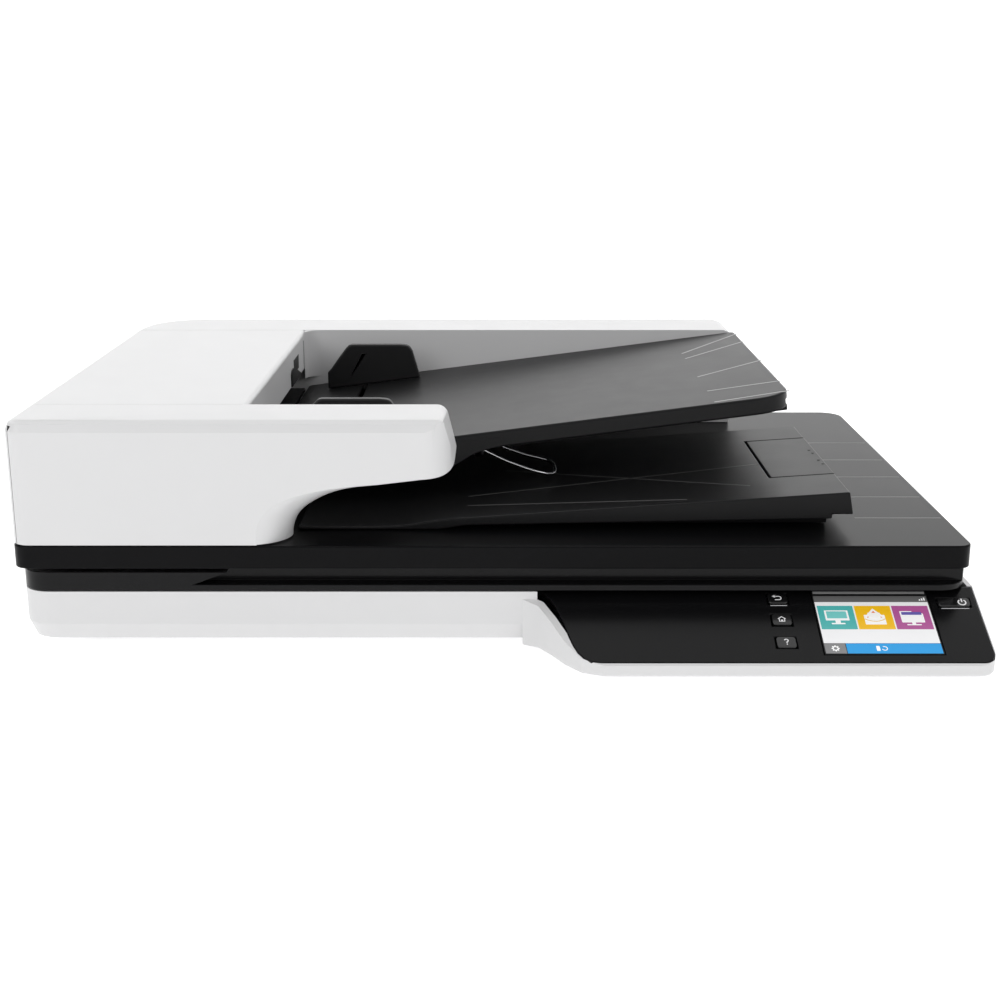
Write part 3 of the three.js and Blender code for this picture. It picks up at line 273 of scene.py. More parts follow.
def round_edges(piece, widest, segments=3, weighted=False, clamp=False):
    """A live bevel on the sharp edges; the flat faces stay flat in the shading."""
    bevel = piece.modifiers.new("rounding", "BEVEL")
    bevel.width = widest * MM
    bevel.segments = segments
    bevel.limit_method = "WEIGHT" if weighted else "ANGLE"
    bevel.angle_limit = math.radians(SHARP_ANGLE)
    bevel.harden_normals = False
    bevel.use_clamp_overlap = clamp
    weigh = piece.modifiers.new("flat_faces", "WEIGHTED_NORMAL")
    weigh.weight = 100
    weigh.keep_sharp = True


def refined(node, edge=0.4, rule=None, segments=3, clamp=False, broad=None, broad_radius=0):
    """A rounded copy of a node. A rule gives the radius in mm for an edge from its two ends, and
    broad picks the edges that are rounded first, by a larger radius."""
    bm = cad_copy(node)
    if broad:
        picked = [line for line in bm.edges if broad(line.verts[0].co / MM, line.verts[1].co / MM)]
        print(node, "broad edges", len(picked))
        bmesh.ops.bevel(bm, geom=picked, offset=broad_radius * MM, segments=6, profile=0.5,
                        affect="EDGES", material=-1, clamp_overlap=False)
    widest = edge
    if rule:
        weights = bm.edges.layers.float.new("bevel_weight_edge")
        radii = {}
        for line in bm.edges:
            if len(line.link_faces) == 2 and line.calc_face_angle(0) > math.radians(SHARP_ANGLE):
                radii[line] = rule(line.verts[0].co / MM, line.verts[1].co / MM)
        widest = max(radii.values())
        for line, radius in radii.items():
            line[weights] = radius / widest
    piece = put(bm, node + "_moulded", body_of[node], slot_of[node], node)
    round_edges(piece, widest, segments, weighted=bool(rule), clamp=clamp)
    return piece


# %% [markdown]
# ## The base
# The lower shell is one white moulding, tucked in at the bottom so that it seems to float on its
# feet. The black frame above it carries the platen. Their edges are crisp: about half a
# millimetre, and less where the two meet.

# %% Base mouldings
refined("base_shell", 0.6, clamp=True)
refined("base_top_frame", 0.5, clamp=True)
refined("panel_cover", 0.7, clamp=True)
for node in ("dc_inlet", "usb_port", "network_port"):
    refined(node, 0.25)
for node in ("hinge_socket_left", "hinge_socket_right", "hinge_post_left", "hinge_post_right"):
    refined(node, 0.6)
for node in ("rubber_foot_1", "rubber_foot_2", "rubber_foot_3", "rubber_foot_4"):
    refined(node, 0.6)

# %% [markdown]
# ## The lid and the feeder
# The lid is a shallow tray in satin black. The feeder's cover over it is the large white moulding
# that gives the object its character, and its rim is rounded far more than the seams are.

# %% Lid and feeder mouldings
HATCH_RIGHT = high("adf_hatch").x / MM
HATCH_LOW = low("adf_hatch").z / MM
COVER_TOP = high("adf_housing").z / MM
ARM_REAR = low("adf_hatch").y / MM
arm_x = [v.co.x for v in nodes["adf_housing"].data.vertices if v.co.y / MM < ARM_REAR - 1]
ARM_RIGHT = max(arm_x) / MM
HINGE_POCKETS_Y = 150
EDGE_SLACK = 0.1


def at_arm_end(a, b):
    """The top edge at the free end of the front arm."""
    return all(spot.z > COVER_TOP - EDGE_SLACK and spot.y < ARM_REAR + EDGE_SLACK
               and ARM_RIGHT - 8 < spot.x < ARM_RIGHT for spot in (a, b))


def cover_rule(a, b):
    """Seams stay tight and the rest is a little softer."""
    middle = (a + b) / 2
    at_seam = middle.x < HATCH_RIGHT + 1.2 and middle.z > HATCH_LOW - 1.2
    return 0.25 if at_seam else 0.9


def at_rim(a, b):
    """The hatch's right edge, which is the hopper's left rim."""
    return all(spot.z > COVER_TOP - EDGE_SLACK and spot.x > HATCH_RIGHT - EDGE_SLACK for spot in (a, b))


def lid_rule(a, b):
    """Only the rim around the lid's top and the one around its foot are rounded."""
    at_top = min(a.z, b.z) > high("lid_top").z / MM - 0.05
    at_foot = max(a.z, b.z) < low("lid_top").z / MM + 0.05
    outside = max(a.y, b.y) < HINGE_POCKETS_Y
    return 0.8 if at_top else 0.4 if at_foot and outside else 0


refined("lid_top", rule=lid_rule)
refined("adf_housing", rule=cover_rule, clamp=True, broad=at_arm_end, broad_radius=4)
refined("adf_hatch", 0.25, clamp=True, broad=at_rim, broad_radius=2.6)
refined("output_tray", 0.7)
refined("paper_stop", 0.6)
refined("input_tray", 1.1)
refined("tray_extension", 0.6)

# %% [markdown]
# ## The keys and the screen
# The keys stand less than a millimetre proud of the panel, so their edges are small.

# %% Keys and screen
for node in ("back_key", "home_key", "help_key", "power_key"):
    refined(node, 0.35)


# %% [markdown]
# ## A drawing board on the panel
# The control panel slopes, so its small graphics are laid out on a board of their own: x to the
# right, y up the slope and z out of the panel, in millimetres. The slope is read from the face of
# the screen, and not typed in.

# %% The board and its drawing tools
ACROSS = Vector((1, 0, 0))
screen_faces = [face for face in nodes["display_screen"].data.polygons if face.normal.z > 0.5]
screen_face = max(screen_faces, key=lambda face: face.area)
UP_SLOPE = screen_face.normal.cross(ACROSS).normalized()
board = Matrix((ACROSS, UP_SLOPE, screen_face.normal)).transposed().to_4x4()
board.translation = screen_face.center
print("panel tilt", round(math.degrees(UP_SLOPE.angle(Vector((0, 1, 0)))), 1), "degrees")


def board_box(node):
    """The lowest and highest corner of a node on the board, in mm."""
    spots = [board.inverted() @ vertex.co / MM for vertex in nodes[node].data.vertices]
    return (Vector(min(spot[k] for spot in spots) for k in range(3)),
            Vector(max(spot[k] for spot in spots) for k in range(3)))


def slab(bm, x0, x1, y0, y1, z0, z1, rounding=0.0, turn=0.0):
    """A thin block with rounded upright edges, turned about its own middle."""
    middle = Vector((x0 + x1, y0 + y1, z0 + z1)) / 2
    made = bmesh.ops.create_cube(bm, size=1)["verts"]
    bmesh.ops.scale(bm, verts=made, vec=(x1 - x0, y1 - y0, z1 - z0))
    if rounding:
        upright = [e for e in {e for v in made for e in v.link_edges}
                   if abs(e.verts[0].co.z - e.verts[1].co.z) > 1e-9]
        rounded = bmesh.ops.bevel(bm, geom=upright, offset=rounding, segments=4, profile=0.5,
                                  affect="EDGES", material=-1)
        made = list({v for face in rounded["faces"] for v in face.verts} | {v for v in made if v.is_valid})
    bmesh.ops.rotate(bm, verts=made, matrix=Matrix.Rotation(math.radians(turn), 3, "Z"))
    bmesh.ops.translate(bm, verts=made, vec=middle)
    return made


def wedge(bm, x, y, radius, z0, z1, turn=0.0, squeeze=1.0, sides=3):
    """An upright prism with few sides: an arrow head, a roof or a flap. Its point is up."""
    made = bmesh.ops.create_cone(bm, segments=sides, radius1=radius, radius2=radius,
                                 depth=z1 - z0, cap_ends=True)["verts"]
    bmesh.ops.rotate(bm, verts=made, matrix=Matrix.Rotation(math.radians(turn), 3, "Z"))
    bmesh.ops.scale(bm, verts=made, vec=(1, squeeze, 1))
    bmesh.ops.translate(bm, verts=made, vec=(x, y, (z0 + z1) / 2))


def arc(bm, x, y, radius, width, z0, z1, start, sweep, steps=14):
    """Part of a flat ring: a small square face swept round a point, in degrees."""
    made = bmesh.ops.create_grid(bm, x_segments=1, y_segments=1, size=0.5)["verts"]
    bmesh.ops.scale(bm, verts=made, vec=(width, z1 - z0, 1))
    bmesh.ops.rotate(bm, verts=made, matrix=Matrix.Rotation(math.pi / 2, 3, "X"))
    bmesh.ops.translate(bm, verts=made, vec=(radius, 0, (z0 + z1) / 2))
    bmesh.ops.rotate(bm, verts=made, matrix=Matrix.Rotation(math.radians(start), 3, "Z"))
    bmesh.ops.translate(bm, verts=made, vec=(x, y, 0))
    full = abs(sweep) >= 360
    faces = list({face for vertex in made for face in vertex.link_faces})
    if full:
        edges = [edge for edge in faces[0].edges]
        bmesh.ops.delete(bm, geom=faces, context="FACES_ONLY")
        faces = []
        geometry = edges + made
    else:
        geometry = faces + [e for e in faces[0].edges] + made
    bmesh.ops.spin(bm, geom=geometry, cent=(x, y, 0), axis=(0, 0, 1), angle=math.radians(sweep),
                   steps=steps * 2 if full else steps, use_merge=full, use_duplicate=False)


def on_board(bm, name, body, slot_name, material):
    """Scales a drawing to metres, lays it on the board and makes it a piece."""
    bmesh.ops.remove_doubles(bm, verts=bm.verts, dist=0.0005)
    bmesh.ops.recalc_face_normals(bm, faces=bm.faces)
    bmesh.ops.scale(bm, verts=bm.verts, vec=(MM, MM, MM))
    bmesh.ops.transform(bm, verts=bm.verts, matrix=board)
    return put(bm, name, body, slot_name, material=material)


# %% [markdown]
# ## What the screen shows
# The display is lit from behind, so its colours glow a little. They lie in layers that are each
# a few hundredths of a millimetre thick: a white field, a status bar over it, three tiles, and
# the bar at the bottom. A grey band along the top is a painted reflection on the glass. Captions are left
# out.

# %% Screen layers
screen_low, screen_high = board_box("display_screen")
SCREEN_RIM = 0.5
FACE = 0.02
SINK = -0.15
LAYER = 0.04


def screen_ink(name, color, glow):
    """A backlit colour: the same plastic as a key, with light of its own."""
    return finish(name, color, 0.22, drift=0.03, grain=300, grain_depth=0.0005, mottle=90, glow=glow)


def on_screen(bm, name, color, glow=0.25):
    """A drawing in one backlit colour of its own."""
    return on_board(bm, name, "base", "screen", screen_ink(name, color, glow))


def at_u(share):
    return screen_low.x + SCREEN_RIM + share * (screen_high.x - screen_low.x - 2 * SCREEN_RIM)


def at_v(share):
    return screen_low.y + SCREEN_RIM + share * (screen_high.y - screen_low.y - 2 * SCREEN_RIM)


def layer(name, color, areas, level=1, rounding=0.0, glow=0.25):
    """One colour of the picture: rectangles given as shares of the screen's width and height."""
    bm = bmesh.new()
    for u0, u1, v0, v1 in areas:
        slab(bm, at_u(u0), at_u(u1), at_v(v0), at_v(v1), SINK, FACE + level * LAYER, rounding)
    return on_screen(bm, name, color, glow)


STATUS = (0.82, 0.92)
BAR_TOP = 0.155
TILE_LOW, TILE_HIGH = 0.378, 0.757
TILES = ((0.012, 0.325), (0.337, 0.654), (0.666, 0.985))
GEAR_CELL = 0.18
layer("screen_field", (0.80, 0.80, 0.81), [(0, 1, BAR_TOP + 0.005, STATUS[0])])
# painted reflection: a glowing grey band along the top of the screen glass
layer("screen_painted_reflection", (0.30, 0.30, 0.30), [(0.005, 0.995, 0.957, 0.995)], glow=0.2)
layer("screen_status", (0.11, 0.11, 0.11), [(0, 1, *STATUS)], glow=0.3)
layer("tile_teal", (0.070, 0.400, 0.385), [(*TILES[0], TILE_LOW, TILE_HIGH)], 2, 0.25)
layer("tile_amber", (0.800, 0.455, 0.010), [(*TILES[1], TILE_LOW, TILE_HIGH)], 2, 0.25)
layer("tile_magenta", (0.385, 0.085, 0.270), [(*TILES[2], TILE_LOW, TILE_HIGH)], 2, 0.25)
layer("cell_grey", (0.20, 0.20, 0.205), [(0, GEAR_CELL, 0, BAR_TOP)])
layer("bar_blue", (0.011, 0.300, 0.680), [(GEAR_CELL + 0.006, 1, 0, BAR_TOP)])

# %% [markdown]
# The pictures on the tiles are cut from simple shapes, as icons are. Each shape is placed by
# shares of its tile, so that the icons keep their size in proportion to the screen.

# %% Where a picture goes
PICTURE = FACE + 3 * LAYER
TILE_MIDDLE_Y = at_v((TILE_LOW + TILE_HIGH) / 2)
tile_x = [at_u(sum(tile) / 2) for tile in TILES]
TILE_SIZE = at_u(TILES[0][1]) - at_u(TILES[0][0])


def picture(bm, column, x0, x1, y0, y1, rounding=0.0, lift=0, turn=0.0):
    """A slab placed by shares of the tile, measured from its middle."""
    cx = tile_x[column]
    slab(bm, cx + x0 * TILE_SIZE, cx + x1 * TILE_SIZE, TILE_MIDDLE_Y + y0 * TILE_SIZE,
         TILE_MIDDLE_Y + y1 * TILE_SIZE, SINK, PICTURE + lift * LAYER, rounding, turn)


# %% [markdown]
# Everything white is one drawing: a monitor on a stand, an open envelope, a folder, and a toothed
# wheel for the settings.

# %% White shapes
GEAR_TEETH = 8
GEAR_RADIUS, TOOTH_RADIUS = 1.15, 1.65
white = bmesh.new()
picture(white, 0, -0.33, 0.33, -0.12, 0.28, 0.3)
picture(white, 0, -0.07, 0.07, -0.22, -0.12)
picture(white, 0, -0.19, 0.19, -0.27, -0.22, 0.2)
picture(white, 1, -0.29, 0.29, -0.28, 0.1, 0.3)
wedge(white, tile_x[1], TILE_MIDDLE_Y + 0.12 * TILE_SIZE, 0.335 * TILE_SIZE, SINK, PICTURE, 0, 0.7)
picture(white, 2, -0.32, 0.32, -0.2, 0.16, 0.4)
picture(white, 2, -0.32, 0.02, 0.12, 0.25, 0.3)
picture(white, 2, -0.05, 0.05, -0.27, -0.2)
picture(white, 2, -0.2, 0.2, -0.31, -0.27, 0.2)
gear_x, gear_y = at_u(GEAR_CELL / 2), at_v(BAR_TOP / 2)
arc(white, gear_x, gear_y, GEAR_RADIUS, 0.6, SINK, FACE + 2 * LAYER, 0, 360)
for tooth in range(GEAR_TEETH):
    turn = 360 // GEAR_TEETH * tooth
    angle = math.radians(turn)
    tooth_x, tooth_y = gear_x + TOOTH_RADIUS * math.cos(angle), gear_y + TOOTH_RADIUS * math.sin(angle)
    slab(white, tooth_x - 0.25, tooth_x + 0.25, tooth_y - 0.3, tooth_y + 0.3, SINK,
         FACE + 2 * LAYER, turn=turn)
on_screen(white, "screen_white", (0.86, 0.86, 0.86))

# %% [markdown]
# The coloured shapes lie a layer or two over the white ones: the monitor's glass, the envelope's
# lining, letter and fold, the folder's tab, and the small marks of the two bars.

# %% Coloured shapes
tints = bmesh.new()
picture(tints, 0, -0.28, 0.28, -0.04, 0.24, 0.15, 1)
on_screen(tints, "monitor_glass", (0.16, 0.52, 0.50))
tints = bmesh.new()
wedge(tints, tile_x[1], TILE_MIDDLE_Y + 0.08 * TILE_SIZE, 0.25 * TILE_SIZE, SINK, PICTURE + LAYER, 0, 0.7)
on_screen(tints, "envelope_lining", (0.72, 0.16, 0.04))
tints = bmesh.new()
picture(tints, 1, -0.17, 0.17, -0.02, 0.18, 0.1, 2)
on_screen(tints, "letter_sheet", (0.84, 0.84, 0.82))
tints = bmesh.new()
arc(tints, tile_x[1], TILE_MIDDLE_Y + 0.3 * TILE_SIZE, 0.46 * TILE_SIZE, 0.28, SINK,
    PICTURE + 3 * LAYER, 232, 76)
on_screen(tints, "envelope_fold", (0.66, 0.42, 0.07))
tints = bmesh.new()
picture(tints, 2, -0.28, 0.28, 0.1, 0.215, 0.1, 1)
on_screen(tints, "folder_tab", (0.12, 0.10, 0.36))
tints = bmesh.new()
for k in range(3):
    slab(tints, at_u(0.93 + 0.02 * k), at_u(0.942 + 0.02 * k), at_v(STATUS[0] + 0.025),
         at_v(STATUS[0] + 0.045 + 0.014 * k), SINK, FACE + 2 * LAYER)
slab(tints, at_u(0.44), at_u(0.47), at_v(0.04), at_v(0.115), SINK, FACE + 2 * LAYER, 0.3)
arc(tints, at_u(0.51), at_v(0.078), 1.2, 0.4, SINK, FACE + 2 * LAYER, 200, 280)
on_screen(tints, "screen_marks", (0.8, 0.8, 0.8), 0.4)

# %% [markdown]
# ## The symbols on the keys
# Each key carries one printed symbol: a bent arrow, a house, a question mark and the power sign.
# They are raised by the thickness of the ink, and ride with their key when it is pressed. The
# ink also glows a little, which is painted light that keeps the symbols bright.

# %% Key symbols
INK = 0.05
# the printed ink is white; its glow is painted light, not a lamp
print_with_painted_glow = finish("key_print_with_painted_glow", (0.74, 0.74, 0.75), 0.4, drift=0.03, grain=800, grain_depth=0.004, glow=0.2)


def key_drawing(node):
    """A new drawing with the middle of a key, its top, and the depth its ink starts from."""
    key_low, key_high = board_box(node)
    middle = (key_low + key_high) / 2
    return bmesh.new(), middle.x, middle.y, key_high.z - 0.1, key_high.z + INK


# %% [markdown]
# The symbols are drawn from the middle of their key. The power key is wider than its symbol,
# which stands to the right of the middle.

# %% Draw the symbols
bm, x, y, z0, z1 = key_drawing("back_key")
arc(bm, x + 0.5, y - 0.1, 1.15, 0.45, z0, z1, -90, 180)
slab(bm, x - 1.4, x + 0.5, y - 1.47, y - 1.02, z0, z1)
slab(bm, x - 1.2, x + 0.5, y + 0.82, y + 1.27, z0, z1)
wedge(bm, x - 1.6, y + 1.05, 1.0, z0, z1, 90)
on_board(bm, "back_symbol", "back_key", "key_black", print_with_painted_glow)

bm, x, y, z0, z1 = key_drawing("home_key")
for side in (-1, 1):
    slab(bm, x + side * 0.85 - 1.2, x + side * 0.85 + 1.2, y + 0.75, y + 1.15, z0, z1, turn=-38 * side)
    slab(bm, x + side * 1.2 - 0.2, x + side * 1.2 + 0.2, y - 1.5, y + 0.4, z0, z1)
slab(bm, x - 1.4, x + 1.4, y - 1.6, y - 1.25, z0, z1)
slab(bm, x - 0.42, x + 0.42, y - 1.5, y - 0.35, z0, z1, 0.15)
on_board(bm, "home_symbol", "home_key", "key_black", print_with_painted_glow)

bm, x, y, z0, z1 = key_drawing("help_key")
arc(bm, x, y + 0.85, 0.85, 0.5, z0, z1, -80, 245)
slab(bm, x - 0.1, x + 0.4, y - 0.75, y + 0.15, z0, z1)
slab(bm, x - 0.15, x + 0.45, y - 1.75, y - 1.2, z0, z1, 0.15)
on_board(bm, "help_symbol", "help_key", "key_black", print_with_painted_glow)

bm, x, y, z0, z1 = key_drawing("power_key")
POWER_SHIFT = 3.8
arc(bm, x + POWER_SHIFT, y - 0.3, 1.75, 0.6, z0, z1, 125, 290)
slab(bm, x + POWER_SHIFT - 0.3, x + POWER_SHIFT + 0.3, y - 0.1, y + 2.1, z0, z1, 0.1)
on_board(bm, "power_symbol", "power_key", "key_black", print_with_painted_glow)

# %% [markdown]
# A thin glowing strip of painted highlight lies just under the power key, and a shorter one under the back
# key.

# %% Painted highlight lines
painted_highlight_strip = bmesh.new()
panel_top = board_box("panel_cover")[1].z
for node, shrink in (("power_key", 1.0), ("back_key", 0.6)):
    key_low, key_high = board_box(node)
    slab(painted_highlight_strip, key_low.x + shrink, key_high.x - shrink, key_low.y - 1.3, key_low.y - 0.9,
         panel_top - 0.4, panel_top + 0.05)
# painted highlight: a pale glowing strip on the panel, not a lamp
on_board(painted_highlight_strip, "key_edge_painted_highlights", "base", "gloss_black",
         finish("painted_highlight_strip", (0.5, 0.5, 0.52), 0.3, glow=0.15))

# %% [markdown]
# ## Scored lines in the black tops
# The lid, the feed tray and the catch tray carry hairlines that run out towards their right edge.
# They are taken to be cut through to a lighter layer. Each one is laid in here as a line about a
# millimetre wide and a few hundredths proud, in a lighter finish.

# %% Scored lines
def board_on(node):
    """A board on the largest face of a node that looks up: x right, y back, in mm."""
    face = max((f for f in nodes[node].data.polygons if f.normal.z > 0.5), key=lambda f: f.area)
    normal = face.normal.copy()
    across = Vector((0, 1, 0)).cross(normal).normalized()
    place = Matrix((across, normal.cross(across), normal)).transposed().to_4x4()
    place.translation = face.center
    return place


LINE_WIDTH = 1.3
LINE_PROUD = 0.04


def stroke(bm, place, start, end):
    """A scored line between two points of the top view, in mm, laid on a board."""
    ends = []
    for x, y in (start, end):
        flat = place.inverted() @ Vector((x * MM, y * MM, place.translation.z))
        steep = (place.to_3x3() @ Vector((1, 0, 0))).x
        ends.append(Vector(((x * MM - place.translation.x) / steep, flat.y, 0)) / MM)
    run = ends[1] - ends[0]
    middle = (ends[0] + ends[1]) / 2
    made = slab(bm, -run.length / 2, run.length / 2, -LINE_WIDTH / 2, LINE_WIDTH / 2, -0.2, LINE_PROUD)
    turn = Matrix.Rotation(math.atan2(run.y, run.x), 4, "Z")
    sized = Matrix.Diagonal((MM, MM, MM, 1))
    bmesh.ops.transform(bm, verts=made, matrix=place @ sized @ Matrix.Translation(middle) @ turn)


def scored(name, node, lines, color):
    """All the lines of one top as one piece that moves with it."""
    bm = bmesh.new()
    place = board_on(node)
    for start, end in lines:
        stroke(bm, place, start, end)
    return put(bm, name, body_of[node], slot_of[node],
               material=finish(name + "_score", color, 0.4, drift=0.08, grain=700, grain_depth=0.004))


LID_EDGE = high("lid_top").x / MM - 2.5
TRAY_END = high("input_tray").x / MM - 1.0
CATCH_END = high("output_tray").x / MM
lid_lines = [((CATCH_END + 6, y), (LID_EDGE, y)) for y in (70.5, 28.6, -9.8, -50.8, -89.9)]
scored("lid_lines", "lid_top", lid_lines, (0.12, 0.12, 0.12))
fan = ((73.9, 116.0), (57.1, 88.0), (1.1, 25.1), (-37.8, -34.9), (-65.5, -60.5))
scored("tray_lines", "input_tray", [((TRAY_END - 38, a), (TRAY_END, b)) for a, b in fan],
       (0.34, 0.34, 0.34))
catch_lines = [((-14, -90), (92, -105)), ((5, -26), (125, -88)), ((-14, -73), (136, -47))]
scored("catch_lines", "output_tray", catch_lines, (0.075, 0.075, 0.075))

# %% [markdown]
# Two pairs of small grip dots stand on the paper stop, near its free edge.

# %% Grip dots
stop = board_on("paper_stop")
stop_right, stop_front = high("paper_stop").x / MM, low("paper_stop").y / MM
bm = bmesh.new()
for inset, back in ((3.0, 50), (2.4, 43), (2.4, 28), (1.8, 20)):
    x = (stop_right - inset - stop.translation.x / MM) / stop.to_3x3().col[0].x
    spot = Vector((x, stop_front + back - stop.translation.y / MM, 0.0))
    place = stop @ Matrix.Diagonal((MM, MM, MM, 1)) @ Matrix.Translation(spot)
    bmesh.ops.create_cone(bm, segments=16, radius1=0.9, radius2=0.7, depth=0.4, cap_ends=True,
                          matrix=place)
put(bm, "stop_dots", "paper_stop", "port_black")

# %% [markdown]
# ## Shapes drawn in outline
# A few mouldings are easiest to give as an outline that is pushed out to a thickness. The corners
# are listed in order round the outline, a smooth curve stands in for some of them, and the face
# they make is extruded.

# %% An outline pushed out to a thickness
def outline_block(outline, depth_axis, start, end):
    """A closed block from corners in mm, in the plane across an axis ('X', 'Y' or 'Z')."""
    bm = bmesh.new()
    order = {"X": (2, 0, 1), "Y": (0, 2, 1), "Z": (0, 1, 2)}[depth_axis]
    corners = []
    for a, b in outline:
        spot = (a, b, start)
        corners.append(bm.verts.new(Vector(spot[order[k]] for k in range(3)) * MM))
    face = [bm.faces.new(corners)]
    grown = bmesh.ops.extrude_face_region(bm, geom=face)["geom"]
    push = Vector((0, 0, 0))
    push["XYZ".index(depth_axis)] = (end - start) * MM
    bmesh.ops.translate(bm, verts=[v for v in grown if isinstance(v, bmesh.types.BMVert)], vec=push)
    bmesh.ops.recalc_face_normals(bm, faces=bm.faces)
    return bm


def curve(points, steps=5):
    """A smooth line through the points: a Catmull-Rom spline."""
    ends = [points[0], *points, points[-1]]
    line = []
    for p0, p1, p2, p3 in zip(ends, ends[1:], ends[2:], ends[3:]):
        for k in range(steps):
            t = k / steps
            line.append(tuple(0.5 * (2 * b + (c - a) * t + (2 * a - 5 * b + 4 * c - d) * t * t
                                     + (3 * b - a - 3 * c + d) * t ** 3)
                              for a, b, c, d in zip(p0, p1, p2, p3)))
    return line + [points[-1]]


# %% [markdown]
# ## The paper guides
# The two guides stand level although their tray slopes, so the slope is read from the tray first.

# %% The slope of the tray
tray_top = board_on("input_tray")
TRAY_RUN = tray_top.to_3x3() @ Vector((1, 0, 0))
TRAY_NORMAL = tray_top.to_3x3() @ Vector((0, 0, 1))
BLADE = 5.0
GUIDE_INSET = 0.3
LIFT_OFF_TRAY = 0.3


def on_tray(x):
    """Height of the feed tray's top at x, in mm."""
    return tray_top.translation.z / MM + (x - tray_top.translation.x / MM) * TRAY_RUN.z / TRAY_RUN.x


# %% [markdown]
# The left end of each blade is cut away so that paper can be led in, with a ridge where the cut
# begins, and the right end is rounded. The blade stands on a carrier that slides inside the tray.
# The carrier is the frame's own, cut off at the tray's top.

# %% Paper guides
def build_guide(node, blade_front, ridge_front):
    """The carrier and the shaped blade of one guide."""
    x0, x1 = low(node).x / MM + GUIDE_INSET, high(node).x / MM - GUIDE_INSET
    top = high(node).z / MM - 0.2
    outline = [(x0, on_tray(x0) + LIFT_OFF_TRAY), (x0, on_tray(x0) + 10.5),
               *curve([(x0 + 2, on_tray(x0) + 12.5), (x0 + 11.5, top - 2.2), (x0 + 15, top)], 3),
               *curve([(x1 - 12, top), (x1 - 7, top - 0.8), (x1 - 4.5, top - 4)], 4),
               (x1, on_tray(x1) + LIFT_OFF_TRAY)]
    blade = put(outline_block(outline, "Y", blade_front, blade_front + BLADE), node + "_blade",
                body_of[node], "charcoal", node)
    round_edges(blade, 0.9)
    lead_in = [(x0 + 1, on_tray(x0) + 6), (x0 + 14, on_tray(x0) + 7.5), (x0 + 24, top - 5),
               (x0 + 21, top - 5), (x0 + 13, on_tray(x0) + 5.9), (x0 + 1, on_tray(x0) + 4.4)]
    ridge = put(outline_block(lead_in, "Y", ridge_front, ridge_front + 1), node + "_ridge",
                body_of[node], "charcoal")
    round_edges(ridge, 0.3, 2)
    bm = cad_copy(node)
    bmesh.ops.bisect_plane(bm, geom=bm.verts[:] + bm.edges[:] + bm.faces[:], clear_outer=True,
                           plane_co=tray_top.translation + TRAY_NORMAL * LIFT_OFF_TRAY * MM,
                           plane_no=TRAY_NORMAL)
    bmesh.ops.holes_fill(bm, edges=bm.edges)
    put(bm, node + "_carrier", body_of[node], "charcoal")


build_guide("paper_guide_rear", high("paper_guide_rear").y / MM - BLADE,
            high("paper_guide_rear").y / MM - BLADE - 0.4)
build_guide("paper_guide_front", low("paper_guide_front").y / MM,
            low("paper_guide_front").y / MM + BLADE - 0.6)

# %% [markdown]
# ## The gusset under the feed tray
# Where the tray leaves the arm its front face runs down in a hollow curve, which stiffens the
# tray at its hinge.

# %% Tray gusset
TRAY_FRONT = low("input_tray").y / MM
GUSSET_LEFT, GUSSET_RIGHT = ARM_RIGHT - 7, ARM_RIGHT + 22
gusset_outline = [(GUSSET_LEFT, on_tray(GUSSET_LEFT) - 3), (GUSSET_RIGHT, on_tray(GUSSET_RIGHT) - 3),
                  *curve([(GUSSET_RIGHT, on_tray(GUSSET_RIGHT) - 8), (ARM_RIGHT + 15, 82.6),
                          (ARM_RIGHT + 8, 80.2), (ARM_RIGHT + 1, 76.0), (GUSSET_LEFT, 71.0)], 4)]
gusset = put(outline_block(gusset_outline, "Y", TRAY_FRONT - 0.2, TRAY_FRONT + 5), "tray_gusset",
             "input_tray", "tray_grey")
round_edges(gusset, 0.4, 2, clamp=True)

# %% [markdown]
# ## The hopper's left wall
# The wall over the feed slot has a small black plate of painted shade where a slot opens, the
# black cheek of the feed roller's holder, and a groove near the rear, drawn as a grey strip of
# painted shade.

# %% Hopper wall
WALL_X = HATCH_RIGHT + 0.05


def on_wall(name, outline, slot_name, proud=0.25):
    """A thin part on the hopper's left wall, drawn in y and z."""
    return put(outline_block(outline, "X", WALL_X, WALL_X + proud), name, "adf_hatch", slot_name)


SILL = HATCH_LOW + 0.3
# painted shade: a flat black plate stands for the dark inside of a slot in the wall
SLOT_SHADE = [(68, 95), (88, 95), (88, 103), (68, 103)]
CHEEK = [(54, SILL), *curve([(54, 97), (58, 99.3), (66, 98.8), (80, 95), (97, SILL)], 4)]
CHEEK_PROUD = 0.8
# painted shade: a grey strip on the white wall stands for the shade in a groove
GROOVE = [(113, SILL), (116.5, SILL), (115, 107), (112.5, 107)]
on_wall("slot_painted_shade", SLOT_SHADE, "port_black")
on_wall("roller_cheek", CHEEK, "charcoal", CHEEK_PROUD)
on_wall("groove_painted_shade", GROOVE, "light_grey")

# %% [markdown]
# The fillet in the hopper's rear corner is a quarter of a circle, hollow towards the tray.

# %% Hopper corner
CORNER = 9.0
CORNER_STEPS = 12
corner_y = -max(-v.co.y for v in nodes["adf_housing"].data.vertices
                if v.co.z > (COVER_TOP - 1) * MM and v.co.y > 0.1 and v.co.x > 0) / MM
fillet = [(WALL_X, corner_y), (WALL_X, corner_y - CORNER)]
for step in range(1, CORNER_STEPS):
    angle = math.pi - step / CORNER_STEPS * math.pi / 2
    fillet.append((WALL_X + CORNER + CORNER * math.cos(angle), corner_y - CORNER + CORNER * math.sin(angle)))
fillet.append((WALL_X + CORNER, corner_y))
put(outline_block(fillet, "Z", 82.5, COVER_TOP - 0.3), "hopper_corner", "lid", "white_case")

